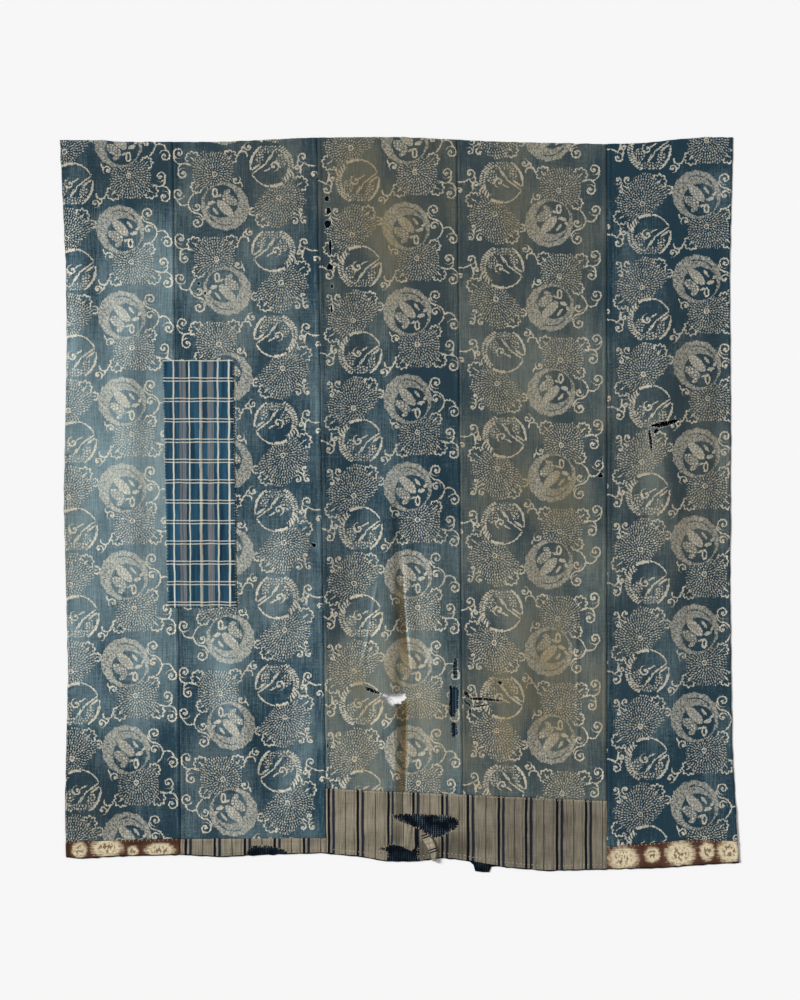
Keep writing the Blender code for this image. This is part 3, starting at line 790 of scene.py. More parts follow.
def stencil_pattern():
    """The stencil's repeat as a node group, from the place on the cloth to the paste that lay there."""
    tree = bpy.data.node_groups.new("crane_tortoise_and_vine_stencil", "ShaderNodeTree")
    tree.interface.new_socket("Place", in_out="INPUT", socket_type="NodeSocketVector")
    for name in ("Paste", "Deep"):
        tree.interface.new_socket(name, in_out="OUTPUT", socket_type="NodeSocketFloat")
    place = add(tree, VECTOR, add(tree, "NodeGroupInput"), (1.0, 1.0, 0.0), operation="MULTIPLY")

    # Rice paste pressed through a cut stencil has edges uneven by about a millimetre
    rough = add(tree, NOISE, place, values={"Scale": 0.24, "Detail": 1.0}, **FLAT)
    rough = add(tree, VECTOR, rough.outputs["Color"], (0.5, 0.5, 0.5), operation="SUBTRACT")
    place = add(tree, VECTOR, rough, (5.6, 5.6, 0.0), place, operation="MULTIPLY_ADD")

    sketch = Sketch(tree, place)
    sketch.bloom(79.0, -6.0, 45, 58, 43, (2.0, -14.5))
    sketch.bloom(233.0, -84.0, 0, 47, 43, (-5.0, 9.0))
    for row in LEAVES:
        sketch.leaf(*row)
    tortoise(sketch, 205.6, 0.0)
    crane(sketch, 96.6, -95.5)
    for row in CURLS:
        sketch.curl(*row)
    for row in STEMS:
        sketch.stem(*row)
    add(tree, "NodeGroupOutput", sketch.shown, sketch.deep)
    return tree


def cloth_material(name):
    """A cloth's material, with its places in millimetres: on the object, and along its own yarns."""
    material = bpy.data.materials.new(name)
    material.use_nodes = True
    tree = material.node_tree
    scale = (1000.0, 1000.0, 1000.0)
    place = add(tree, VECTOR, add(tree, "ShaderNodeTexCoord").outputs["Object"], scale, operation="MULTIPLY")
    along = add(tree, VECTOR, add(tree, "ShaderNodeUVMap", uv_map="cloth"), scale, operation="MULTIPLY")
    return material, tree, place, along


# Streaks of thick and thin yarn: how fast they change across and up in a millimetre, detail and roughness
WARP = (0.42, 0.016, 3.0, 0.65)
WEFT = (0.022, 0.36, 2.0, 0.65)


def streaks(tree, place, across, up, detail, roughness=0.5):
    """Noise drawn out along the yarns."""
    place = add(tree, VECTOR, place, (across, up, 0.0), operation="MULTIPLY")
    return add(tree, NOISE, place, values={"Scale": 1.0, "Detail": detail, "Roughness": roughness}, **FLAT)


def blend(tree, level, *patterns):
    """One pattern from several, each with its own weight, raised by a level."""
    for pattern, weight in patterns:
        level = add(tree, MATH, pattern, weight, level, operation="MULTIPLY_ADD")
    return level


def shade(tree, cloth, pattern, *limits):
    """A cloth made paler or darker by a pattern: two limits of the pattern, then the factor at each."""
    factor = add(tree, RANGE, pattern, *limits)
    return add(tree, VECTOR, cloth, values={"Scale": factor}, operation="SCALE")


def times(dye, factor):
    """A paler or darker kind of a dye's colour."""
    return [part * factor for part in dye]


def woven_lines(tree, cloth, place, rows):
    """Lines of dyed yarn woven into a cloth: middle, half width, how fully they cover, and dye."""
    for middle, half, strength, dye in rows:
        line = add(tree, MATH, place, middle, half, operation="COMPARE")
        line = add(tree, MATH, line, strength, operation="MULTIPLY")
        cloth = add(tree, MIX, line, cloth, dye, **DYES)
    return cloth


def from_oval(tree, place, x, y, wide, high):
    """How far a place lies from an oval's middle, one at the oval's edge."""
    place = add(tree, VECTOR, place, (x, y, 0.0), operation="SUBTRACT")
    place = add(tree, VECTOR, place, (1.0 / wide, 1.0 / high, 0.0), operation="MULTIPLY")
    return add(tree, VECTOR, place, operation="LENGTH")


def weave(tree, place, base, roughness=0.92, bump=0.4, shine=0.1):
    """The bump and dullness that all of the cover's hand-woven cottons share, on their shader."""
    # Real threads lie 0.6 mm apart, finer than the render's pixel, so the weave is drawn at 2.2 mm
    fluff = add(tree, NOISE, place, values={"Scale": 0.5, "Detail": 2.0, "Roughness": 0.7}, **FLAT)
    threads = add(tree, VECTOR, place, (TAU / 2.2, TAU / 2.2, 0.0), operation="MULTIPLY")
    threads = add(tree, VECTOR, fluff, (5.0, 5.0, 0.0), threads, operation="MULTIPLY_ADD")
    threads = add(tree, SPLIT, add(tree, VECTOR, threads, operation="SINE"))
    height = add(tree, MATH, threads.outputs["X"], threads.outputs["Y"], operation="MAXIMUM")
    height = add(tree, MATH, fluff, 2.4, height, operation="MULTIPLY_ADD")
    relief = add(tree, "ShaderNodeBump", bump, 0.0006, values={"Height": height})
    dull = add(tree, RANGE, fluff, 0.3, 0.7, roughness - 0.06, roughness + 0.05)
    shader = tree.nodes["Principled BSDF"]
    for name, feed in (("Base Color", base), ("Roughness", dull), ("Normal", relief)):
        tree.links.new(next(output for output in feed.outputs if output.enabled), shader.inputs[name])
    shader.inputs["Specular IOR Level"].default_value = shine
    shader.inputs["Sheen Weight"].default_value = 0.3 * shine
    shader.inputs["Sheen Roughness"].default_value = 0.6


def dyed_cotton(settings):
    """Hand-woven cotton, stencilled with rice paste and dipped in indigo: matt, streaky and worn pale."""
    material, tree, place, along = cloth_material("stencil_dyed_indigo_cotton")
    paste, deep = add(tree, "ShaderNodeGroup", along, node_tree=stencil_pattern()).outputs
    # The attribute holds the distance from the seam, the stain with painted crease shade, and the fade with
    # painted fold shade, fold light and crest highlights
    wear_and_painted_shading = add(tree, "ShaderNodeAttribute", attribute_name="wear_and_painted_shading")
    from_seam, stain, fade = add(tree, SPLIT, wear_and_painted_shading.outputs["Vector"]).outputs
    warp, weft = streaks(tree, place, *WARP), streaks(tree, place, *WEFT)
    clouds = streaks(tree, place, 0.009, 0.0045, 3.0, 0.55)
    rubbed = add(tree, NOISE, place, values={"Scale": 0.16, "Detail": 3.0, "Roughness": 0.7}, **FLAT)

    # Ground: indigo, paler where it faded, where painted light lies along folds and crests, and where clouds
    # and yarn streaks let the cotton through
    pale = blend(
        tree, -1.2, (clouds, 1.2), (warp, 0.75), (weft, 0.4), (rubbed, 0.5), (deep, -0.12), (fade, 0.6))
    ground = add(tree, MIX, pale, settings.indigo, settings.worn_indigo, **DYES)

    # Figure: the undyed cotton, dulled in clouds and rubbed thin in small places
    dulled = add(tree, MATH, rubbed, 2.2, -0.95, operation="MULTIPLY_ADD")
    figure = add(tree, MIX, dulled, settings.paste, settings.worn_paste, **DYES)
    thin = add(tree, RANGE, rubbed, 0.35, 0.72, 0.98, 0.74)
    paste = add(tree, MATH, paste, thin, operation="MULTIPLY")

    # Stains, with the painted crease shade in them: a brown wash in broken clouds, deep in the ground and
    # thin on the figure
    wash = add(tree, RANGE, clouds, 0.34, 0.66, 0.40, 1.15)
    wash = add(tree, MATH, wash, stain, operation="MULTIPLY")
    brown = add(tree, RANGE, stain, 1.0, 2.1, 0.0, 0.62)
    soaked = [part * share for part, share in zip(settings.paste, STAIN_ON_FIGURE)]
    figure = add(tree, MIX, wash, figure, soaked, **DYES)
    figure = add(tree, MIX, brown, figure, times(settings.dirt, 3.6), **DYES)
    wash = add(tree, MATH, wash, 0.80, operation="MULTIPLY")
    ground = add(tree, MIX, wash, ground, settings.stain, **DYES)
    ground = add(tree, MIX, brown, ground, settings.dirt, **DYES)
    cloth = add(tree, MIX, paste, ground, figure, **DYES)
    # Darker where the fade is low: the panel's tone, and painted shade along the folds and crease walls
    cloth = shade(tree, cloth, fade, -1.0, 0.2, 0.42, 1.0)
    cloth = shade(tree, cloth, warp, 0.3, 0.7, 0.90, 1.09)

    # Seams: painted shade in the groove, darkest at the seam, and the pale worn line where the allowance ends
    # underneath
    painted_groove_shade = add(tree, RANGE, from_seam, 0.4, 2.6, 0.42, 1.0)
    edge = add(tree, MATH, from_seam, 9.5, 1.6, operation="COMPARE")
    edge = add(tree, MATH, edge, 0.10, painted_groove_shade, operation="MULTIPLY_ADD")
    weave(tree, place, add(tree, VECTOR, cloth, values={"Scale": edge}, operation="SCALE"))
    return material


def checked_cotton(settings):
    """Plain-woven cotton with dyed yarns in stripes both ways: crisp lines that dim where they cross blue."""
    material, tree, place, along = cloth_material("check_woven_indigo_cotton")
    warp = streaks(tree, place, *WARP)
    bend = add(tree, NOISE, place, values={"Scale": 0.03, "Detail": 2.0}, **FLAT)
    bend = add(tree, VECTOR, bend.outputs["Color"], (0.5, 0.5, 0.5), operation="SUBTRACT")
    along = add(tree, VECTOR, bend, (3.0, 3.0, 0.0), along, operation="MULTIPLY_ADD")
    across, up, _ = add(tree, SPLIT, along).outputs
    cream, grey = settings.check_cream, settings.check_grey
    dark, dim = times(settings.check_blue, 0.30), times(cream, 0.62)
    tone = blend(tree, -1.2, (streaks(tree, along, 0.07, 0.004, 3.0, 0.6), 2.6), (warp, 0.8))
    cloth = add(tree, MIX, tone, settings.check_blue, dark, **DYES)
    cloth = woven_lines(tree, cloth, across, (
        (16.5, 1.7, 0.8, cream), (37.6, 7.6, 0.75, grey), (36.2, 1.1, 0.5, dark), (53.0, 1.5, 0.75, cream),
        (79.0, 3.6, 0.85, dim), (81.6, 0.9, 0.5, dark), (101.4, 7.2, 0.8, grey), (105.4, 0.9, 0.35, dark),
        (118.4, 1.9, 0.75, cream), (143.8, 2.1, 0.85, cream),
    ))

    # Weft lines in pairs 7 mm apart every 46.8 mm, with a dark line between
    row = add(tree, MATH, up, 23.4, -23.4, operation="WRAP")
    row = add(tree, MATH, row, operation="ABSOLUTE")
    cloth = woven_lines(tree, cloth, row, ((3.4, 1.15, 0.68, cream), (0.0, 1.4, 0.5, dark)))
    weave(tree, place, shade(tree, cloth, warp, 0.3, 0.7, 0.78, 1.2))
    return material


def striped_cotton(settings, name, shades):
    """Hand-spun warm grey cotton with navy warp lines: one solid, one loose beside it, thin ones between."""
    material, tree, place, along = cloth_material(name)
    clouds = add(tree, NOISE, place, values={"Scale": 0.02, "Detail": 3.0}, **FLAT)
    bend = add(tree, MATH, clouds, 3.0, -1.5, operation="MULTIPLY_ADD")
    across = add(tree, MATH, add(tree, SPLIT, along).outputs["X"], bend, operation="ADD")
    across = add(tree, MATH, across, 0.7 * STRIPE_REPEAT, -0.3 * STRIPE_REPEAT, operation="WRAP")
    ground, navy = settings.stripe_ground, settings.stripe_navy
    tone = blend(tree, -1.2, (streaks(tree, place, *WARP), 2.4), (clouds, 1.2))
    cloth = add(tree, MIX, tone, times(ground, 0.66), times(ground, 1.45), **DYES)
    cloth = woven_lines(tree, cloth, across, (
        (0.0, 2.9, 1.0, navy), (10.8, 3.3, 0.93, settings.stripe_blue), (10.2, 1.1, 0.60, navy),
        (38.0, 1.2, 0.70, navy), (-8.0, 1.3, 0.35, navy), (22.0, 0.9, 0.25, navy),
    ))
    cloth = shade(tree, cloth, streaks(tree, place, *WEFT), 0.3, 0.7, 0.92, 1.08)

    # Painted shade, mixed with some dirt, against the wall of the centre crease above the tear: darker
    # towards the wall and cut off at it. Then soft ovals from the table given, which on the torn bits paint
    # shade and light on the flap's facets
    x, y, _ = add(tree, SPLIT, place).outputs
    dirt = add(tree, RANGE, x, -20.0, 7.0, 1.0, 0.42)
    dirt = add(tree, MATH, dirt, add(tree, MATH, x, 7.5, operation="GREATER_THAN"), operation="MAXIMUM")
    dirt = add(tree, MATH, dirt, add(tree, RANGE, y, -716.0, -728.0, 0.0, 1.0), operation="MAXIMUM")
    for *oval, tone in shades:
        soft = add(tree, RANGE, from_oval(tree, place, *oval), 0.5, 1.15, tone, 1.0)
        dirt = add(tree, MATH, dirt, soft, operation="MULTIPLY")
    weave(tree, place, add(tree, VECTOR, cloth, values={"Scale": dirt}, operation="SCALE"))
    return material


def ikat_cotton(settings):
    """Brown cotton with cream figures tied off in the yarn before dyeing, so that their edges feather."""
    material, tree, place, _ = cloth_material("ikat_brown_cotton")
    warp, weft = streaks(tree, place, *WARP), streaks(tree, place, *WEFT)
    rough = add(tree, NOISE, place, values={"Scale": 0.13, "Detail": 2.0}, **FLAT)
    shift = blend(tree, -0.28, (streaks(tree, place, 0.05, 0.35, 2.0), 0.55), (rough, 0.5))
    shown = from_oval(tree, place, *IKAT_FIGURES[0])
    for oval in IKAT_FIGURES[1:]:
        shown = add(tree, MATH, shown, from_oval(tree, place, *oval), operation="MINIMUM")
    body = add(tree, MATH, shown, shift, operation="ADD")
    body = add(tree, RANGE, body, 1.46, 1.00, 0.0, 1.0)
    marks = add(tree, RANGE, streaks(tree, place, 0.16, 0.11, 1.0), 0.47, 0.57, 0.0, 0.80)
    middle = add(tree, RANGE, shown, 0.5, 0.75, 1.0, 0.0)
    marks = add(tree, MATH, marks, middle, operation="MULTIPLY")
    body = add(tree, MATH, body, marks, operation="SUBTRACT")
    bled = add(tree, RANGE, shown, 1.0, 1.7, 1.1, 0.0)
    bled = add(tree, MATH, bled, warp, operation="MULTIPLY")
    ground = add(tree, MIX, bled, settings.ikat_brown, times(settings.ikat_brown, 3.2), **DYES)
    cloth = add(tree, MIX, body, ground, settings.ikat_cream, **DYES)
    weave(tree, place, shade(tree, cloth, weft, 0.3, 0.7, 0.84, 1.12))
    return material


def navy_cotton(settings):
    """Soft navy cotton of old lining, with fine pale lines woven both ways and worn uneven."""
    material, tree, place, along = cloth_material("navy_lining_cotton")
    across, up, _ = add(tree, SPLIT, along).outputs
    across = add(tree, MATH, across, 2.6, -2.6, operation="WRAP")
    across = add(tree, MATH, across, 0.0, 0.75, operation="COMPARE")
    up = add(tree, MATH, up, 2.35, -2.35, operation="WRAP")
    up = add(tree, MATH, up, 0.0, 0.6, operation="COMPARE")
    worn = add(tree, NOISE, place, values={"Scale": 0.035, "Detail": 2.0}, **FLAT)
    worn = add(tree, RANGE, worn, 0.42, 0.66, 0.02, 0.60)
    foot = add(tree, RANGE, add(tree, SPLIT, place).outputs["Y"], -800.0, -775.0, 0.35, 1.0)
    worn = add(tree, MATH, worn, foot, operation="MULTIPLY")
    lines = add(tree, MATH, up, 0.35, across, operation="MULTIPLY_ADD")
    lines = add(tree, MATH, lines, worn, operation="MULTIPLY")
    cloth = add(tree, MIX, lines, settings.navy, settings.navy_grid, **DYES)
    weave(tree, place, shade(tree, cloth, streaks(tree, place, *WARP), 0.3, 0.7, 0.6, 1.5), shine=0.03)
    return material


def backing_cotton(settings):
    """Scraps behind the tears: striped blue at the slits, olive behind the cross tear, else near black."""
    material, tree, place, _ = cloth_material("mended_backing_cotton")
    across = add(tree, SPLIT, place).outputs["X"]
    stripe = add(tree, MATH, across, 3.6, -3.6, operation="WRAP")
    blue = woven_lines(tree, settings.backing_blue, stripe, ((0.0, 1.3, 0.5, settings.navy_grid),))
    at_seam = add(tree, MATH, across, 122.0, 23.0, operation="COMPARE")
    at_cross = add(tree, MATH, across, 202.0, 56.0, operation="COMPARE")
    at_cross = add(tree, MATH, at_cross, streaks(tree, place, *WARP), operation="MULTIPLY")
    cloth = add(tree, MIX, at_seam, settings.navy, blue, **DYES)
    cloth = add(tree, MIX, at_cross, cloth, settings.backing_olive, **DYES)
    weave(tree, place, cloth, shine=0.03)
    return material


def thread_cotton(name, dye):
    """Hand-spun sewing cotton: matt, a little uneven in tone along its length."""
    material, tree, place, _ = cloth_material(name)
    tone = add(tree, NOISE, place, values={"Scale": 0.12, "Detail": 3.0}, **FLAT)
    weave(tree, place, add(tree, MIX, tone, times(dye, 0.6), dye, **DYES), roughness=0.88, bump=0.15)
    return material


# Shapes of the cloths

def soft_step(value):
    """Ease from nought to one."""
    value = min(max(value, 0.0), 1.0)
    return value * value * (3.0 - 2.0 * value)


def follow(line, place):
    """Read an edge's table at a place along it, straight between its points."""
    for (start, low), (end, high) in zip(line, line[1:]):
        if place <= end:
            break
    return low + (high - low) * (place - start) / (end - start)


def inside(bounds, x, y):
    """One within the flat reach round a rectangle, falling to nought over the ramp."""
    x_low, x_high, y_low, y_high = bounds
    away_x = max(x_low - REACH_X - x, x - x_high - REACH_X, 0.0)
    away_y = max(y_low - REACH_Y - y, y - y_high - REACH_Y, 0.0)
    return 1.0 - soft_step(math.hypot(away_x, away_y) / RAMP)


def fold_height(fold, x, y):
    """Height that one soft fold gives the cloth."""
    if not fold.y_low < y < fold.y_top:
        return 0.0
    down = (fold.y_top - y) / (fold.y_top - fold.y_low)
    crest = fold.x_top + (fold.x_low - fold.x_top) * down + fold.bow * math.sin(math.pi * down)
    away = x - crest
    reach = -away / fold.left if away < 0.0 else away / fold.right
    if reach >= 1.0:
        return 0.0
    ends = soft_step((fold.y_top - y) / fold.fade) * soft_step((y - fold.y_low) / fold.fade)
    return fold.height * 0.5 * (1.0 + math.cos(math.pi * reach)) * ends


def swell(away, reach, height):
    """A low rounded ridge beside an edge, nought at the edge and at its reach."""
    return height * math.sin(math.pi * away / reach) ** 2 if 0.0 < away < reach else 0.0


def lie(x, y, settings):
    """Height of the top cloths' underside above the surface: folds, creases, seam allowances and slack."""
    rises = [inside(bounds, x, y) for bounds in LINING_RISES]
    rises += [inside(item[1:], x, y) for item in UNDERLAYS]
    folds = sum(fold_height(fold, x, y) for fold in FOLDS)
    level = 1.0 - inside(CHECK_PATCH_BOUNDS, x, y)
    height = RAISED * max(rises) + folds * level
    height += sum(fold_height(crease, x, y) for crease in CREASES + SHARP_CREASES)
    ridge, reach = settings.ridge / MM, settings.ridge_reach / MM
    for seam in SEAMS:
        height += swell(abs(x - follow(seam, y)), reach, ridge)
    rim = min(x - follow(LEFT_EDGE, y), follow(RIGHT_EDGE, y) - x, follow(TOP_EDGE, x) - y)
    height += swell(rim + 2.0, reach, ridge)
    # Slack in swells about a hand wide, with small dimples over them
    slack = noise.noise((x / 80.0, y / 110.0, 0.0)) + 0.4 * noise.noise((x / 17.0, y / 21.0, 5.0))
    return max(height + settings.slack / MM * slack, 0.0)


def wavering(line, size, pace, seed):
    """An edge's table read with the small unevenness of a hand-sewn edge."""
    return lambda place: follow(line, place) + size * noise.noise((place / pace, seed, 0.0))


def side_edge(number):
    """A panel's right side as sewn; number nought gives the cover's left edge."""
    return wavering(SIDES[number], *SIDE_WAVER, number * SIDE_WAVER_STEP)


def foot_edge(number):
    """The seam at a panel's foot, where its hem strip starts."""
    return wavering(FEET[number - 1], *FOOT_WAVER)


def grid_between(sides, ends, columns, rows, crowding=0.0):
    """A flat grid stretched between two side edges and two end edges, in mm."""
    left, right = sides
    bottom, top = ends
    shape = bmesh.new()
    bmesh.ops.create_grid(shape, x_segments=columns, y_segments=rows, size=0.5)
    for corner in shape.verts:
        across, up = corner.co.x + 0.5, corner.co.y + 0.5
        across -= crowding * math.sin(TAU * across) / TAU
        x, y = 0.0, 0.0
        for _ in range(3):
            x = left(y) + (right(y) - left(y)) * across
            y = bottom(x) + (top(x) - bottom(x)) * up
        corner.co = (x, y, 0.0)
    return shape


def grid_over(x_low, x_high, y_low, y_high, step=1.0, counts=None):
    """A flat grid over a rectangle, in mm, by the cells' size or by its columns and rows."""
    counts = counts or (max(6, round((x_high - x_low) / step)), max(6, round((y_high - y_low) / step)))
    return grid_between((lambda y: x_low, lambda y: x_high), (lambda x: y_low, lambda x: y_high), *counts)


def sides_of(outline):
    """The sides of a closed outline, each by its two ends."""
    return list(zip(outline, outline[1:] + outline[:1]))


def within(point, outline):
    """Whether a point lies in a closed outline."""
    odd = False
    for (x_start, y_start), (x_end, y_end) in sides_of(outline):
        if (y_start > point.y) != (y_end > point.y):
            share = (point.y - y_start) / (y_end - y_start)
            odd ^= point.x < x_start + (x_end - x_start) * share
    return odd


def dots_along(lines):
    """Closely spaced places along closed outlines, for finding the nearest one."""
    places = []
    for outline in lines:
        for start, end in sides_of(outline):
            start, end = Vector(start).to_3d(), Vector(end).to_3d()
            count = max(1, math.ceil((end - start).length / DOT_STEP))
            places += [start.lerp(end, step / count) for step in range(count)]
    tree = kdtree.KDTree(len(places))
    for number, place in enumerate(places):
        tree.insert(place, number)
    tree.balance()
    return tree


def refine(shape, dots, reach, longest):
    """Halve the edges that lie near the dots of an outline and are longer than asked."""
    chosen = []
    for edge in shape.edges:
        start, end = edge.verts[0].co, edge.verts[1].co
        if (end - start).length > longest and dots.find((start + end) / 2)[2] < reach:
            chosen.append(edge)
    bmesh.ops.subdivide_edges(shape, edges=chosen, cuts=1, use_grid_fill=True)


def rim_of(shape):
    """The corners on a flat grid's edges."""
    return {corner for edge in shape.edges if edge.is_boundary for corner in edge.verts}


def trim(shape, outlines, keep_inside=False):
    """Cut a flat grid along outlines: away what lies in them, or what lies round the one."""
    dots = dots_along(outlines)
    for reach in TEAR_REACHES:
        refine(shape, dots, reach, TEAR_STEP)
    rim = rim_of(shape)
    gone = set()
    for outline in outlines:
        xs, ys = zip(*outline)
        for face in shape.faces:
            middle = face.calc_center_median()
            boxed = min(xs) < middle.x < max(xs) and min(ys) < middle.y < max(ys)
            if (boxed and within(middle, outline)) != keep_inside:
                gone.add(face)
    bmesh.ops.delete(shape, geom=list(gone), context="FACES")
    for corner in rim_of(shape) - rim:
        spot, _, away = dots.find(corner.co)
        if away < TEAR_STEP:
            corner.co = spot


def ragged(tear):
    """The outline of a tear: a slim oval with uneven, frayed sides."""
    turn = math.radians(tear.turn)
    count = tear.corners * 2
    points = []
    for step in range(count):
        angle = TAU * step / count
        rough = 1.0 + 0.10 * math.sin(3.0 * angle + tear.x) + 0.07 * math.cos(5.0 * angle + tear.y)
        rough += 0.06 * math.sin(11.0 * angle + tear.y) + 0.04 * math.cos(17.0 * angle + tear.x)
        along, across = (
            0.5 * size * rough * math.copysign(abs(part) ** tear.square, part)
            for size, part in ((tear.long, math.cos(angle)), (tear.wide, math.sin(angle))))
        points.append((
            tear.x + along * math.cos(turn) - across * math.sin(turn),
            tear.y + along * math.sin(turn) + across * math.cos(turn),
        ))
    return points


def thicken(shape, thick):
    """Raise a copy of the underside by the cloth's thickness, wall the rim and round it off."""
    raised = bmesh.ops.extrude_face_region(shape, geom=list(shape.faces))["geom"]
    corners = [part for part in raised if isinstance(part, bmesh.types.BMVert)]
    bmesh.ops.translate(shape, vec=(0, 0, thick), verts=corners)
    bmesh.ops.recalc_face_normals(shape, faces=shape.faces)
    for corner in corners:
        if any(abs(face.normal.z) < 0.3 for face in corner.link_faces):
            corner.co.z -= 0.35 * thick


def unwrap(shape, pattern, spread, strips):
    """Give each face its place along the yarns, and its own place on the baked sheet in strips."""
    weave_map = shape.loops.layers.uv.new("cloth")
    baked = shape.loops.layers.uv.new("OFBake")
    shape.verts.index_update()
    places = [(pattern(corner.co), spread(corner.co)) for corner in shape.verts]
    for face in shape.faces:
        face.smooth = True
        strip = min(int(spread(face.calc_center_median())[1] * strips), strips - 1)
        for loop in face.loops:
            woven, (across, up) = places[loop.vert.index]
            loop[weave_map].uv = (woven[0] * MM, woven[1] * MM)
            # The top and the walls fill the sheet's lower nine tenths, the underside a strip over them
            if face.normal.z > -0.5:
                loop[baked].uv = ((strip + 0.01 + 0.98 * across) / strips, 0.01 + 0.9 * (up * strips - strip))
            else:
                loop[baked].uv = (0.01 + 0.98 * across, 0.93 + 0.06 * up)


def keep(name, shape, material, slot, nodes=()):
    """Turn a finished shape in mm into the piece that stands for its solids."""
    bmesh.ops.scale(shape, vec=(MM, MM, MM), verts=shape.verts)
    mesh = bpy.data.meshes.new(name)
    shape.to_mesh(mesh)
    shape.free()
    mesh.materials.append(material)
    mesh.set_sharp_from_angle(angle=math.radians(55.0))
    piece = bpy.data.objects.new(name, mesh)
    bpy.context.scene.collection.objects.link(piece)
    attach(piece, BODY)
    if nodes:
        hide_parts(*nodes)
    return piece


def cover(name, shape, height, thick, material, slot, node, pattern, strips=1, wear_and_painted_shading=None):
    xs = [corner.co.x for corner in shape.verts]
    ys = [corner.co.y for corner in shape.verts]
    wide, high = max(xs) - min(xs), max(ys) - min(ys)
    area = sum(face.calc_area() for face in shape.faces) * MM * MM
    low = (min(xs), min(ys))
    for corner in shape.verts:
        corner.co.z = height(corner.co.x, corner.co.y)
    thicken(shape, thick)
    if wear_and_painted_shading is not None:
        layer = shape.verts.layers.float_vector.new("wear_and_painted_shading")
        for corner in shape.verts:
            corner[layer] = wear_and_painted_shading(corner.co.x, corner.co.y)

    def spread(place):
        return (place.x - low[0]) / wide, min(max((place.y - low[1]) / high, 0.0), 1.0)

    unwrap(shape, pattern, spread, strips)
    piece = keep(name, shape, material, slot, (node,))
    return piece


def on_cloth(x, y, gaps=()):
    """Whether a place lies on the cover, clear of the given gaps."""
    return (
        follow(LEFT_EDGE, y) < x < follow(RIGHT_EDGE, y)
        and follow(BOTTOM_EDGE, x) + HEM_CLEAR < y < follow(TOP_EDGE, x) - TOP_CLEAR
        and not any(within(Vector((x, y)), outline) for outline in gaps)
    )


def thread_through(shape, points, thick):
    """A loose thread through points, thinner to its end."""
    for step, (start, end) in enumerate(zip(points, points[1:])):
        start, end = Vector(start), Vector(end)
        form = Matrix.LocRotScale((start + end) / 2, (end - start).to_track_quat("Z", "Y"), None)
        bmesh.ops.create_cone(
            shape, cap_ends=True, segments=4, radius1=thick * (0.5 - 0.08 * step),
            radius2=thick * (0.42 - 0.08 * step), depth=(end - start).length * 1.05, matrix=form)


def ellipses(table, x, y):
    """Soft ovals of staining, fading, and painted shade and light along folds, in the photograph's pixels."""
    across, up = PHOTO_MIDDLE[0] + x / MM_PER_PIXEL, PHOTO_MIDDLE[1] - y / MM_PER_PIXEL
    total = 0.0
    for middle_x, middle_y, reach_x, reach_y, strength in table:
        away = math.hypot((across - middle_x) / reach_x, (up - middle_y) / reach_y)
        total += strength * math.exp(-away * away)
    return total


# Operators

class FUTON_OT_sew_panels(bpy.types.Operator):
    """Sew the five stencil-dyed panels, with their folds, seams and tears"""
    bl_idname = "futon.sew_panels"
    bl_label = "Sew Dyed Panels"

    def execute(self, context):
        settings = context.scene.futon_panels
        dye = dyed_cotton(settings)
        for number, cut in CUTS.items():
            left, right, bottom = side_edge(number - 1), side_edge(number), foot_edge(number)
            shape = grid_between((left, right), (bottom, wavering(TOP_EDGE, *TOP_WAVER)), *PANEL_GRID)
            for crease in SHARP_CREASES:
                if crease.name.endswith(str(number)):
                    ends = ((crease.x_top, crease.y_top), (crease.x_low, crease.y_low))
                    line = dots_along([[(x + crease.bow, y) for x, y in ends]])
                    for reach, longest in CREASE_ROUNDS:
                        refine(shape, line, reach, longest)
            torn = [ragged(tear) for tear in TEARS if tear.cloth == f"panel_{number}"]
            rims = dots_along(torn)
            if torn:
                trim(shape, torn)
            pulls = [(height, Vector(pull)) for height, *pull in PULLS[number]]

            def pattern(place, cut=cut, pulls=pulls):
                place = place.to_2d() + follow(pulls, place.y)
                across = (place.x - follow(cut.start, place.y)) * cut.across
                return across, (place.y - cut.tortoise_y) * cut.up * REPEAT / cut.repeat

            def wear_and_painted_shading(x, y, number=number, left=left, right=right, bottom=bottom, rims=rims):
                from_seam = min(x - left(y), right(y) - x, y - bottom(x))
                # Along the creases dirt is painted shade mixed with dirt, and rubbed is partly wear and
                # partly a painted highlight; at tear rims rubbed is real wear
                dirt = sum(fold_height(line, x, y) for line in CREASE_SHADE_AND_DIRT_LINES.get(number, ()))
                rubbed = sum(fold_height(line, x, y) for line in CREST_WEAR_AND_HIGHLIGHT_LINES.get(number, ()))
                away = rims.find((x, y, 0.0))[2]
                if away is not None and away < RIM_REACH:
                    rubbed += RIM_WEAR * (1.0 - away / RIM_REACH)
                stain = ellipses(STAINS[number], x, y) + dirt
                fade = ellipses(FADES_AND_FOLD_SHADING[number], x, y) - CREASE_SHADE_AND_DIRT_DARKENS * dirt + rubbed
                return from_seam, min(stain, DEEPEST_STAIN), min(fade, PALEST_FADE)

            cover(
                f"dyed_panel_{number}", shape, lambda x, y: lie(x, y, settings), settings.sheet / MM, dye,
                "stencil_dyed_cotton", f"panel_{number}", pattern, strips=3, wear_and_painted_shading=wear_and_painted_shading)
        return {"FINISHED"}


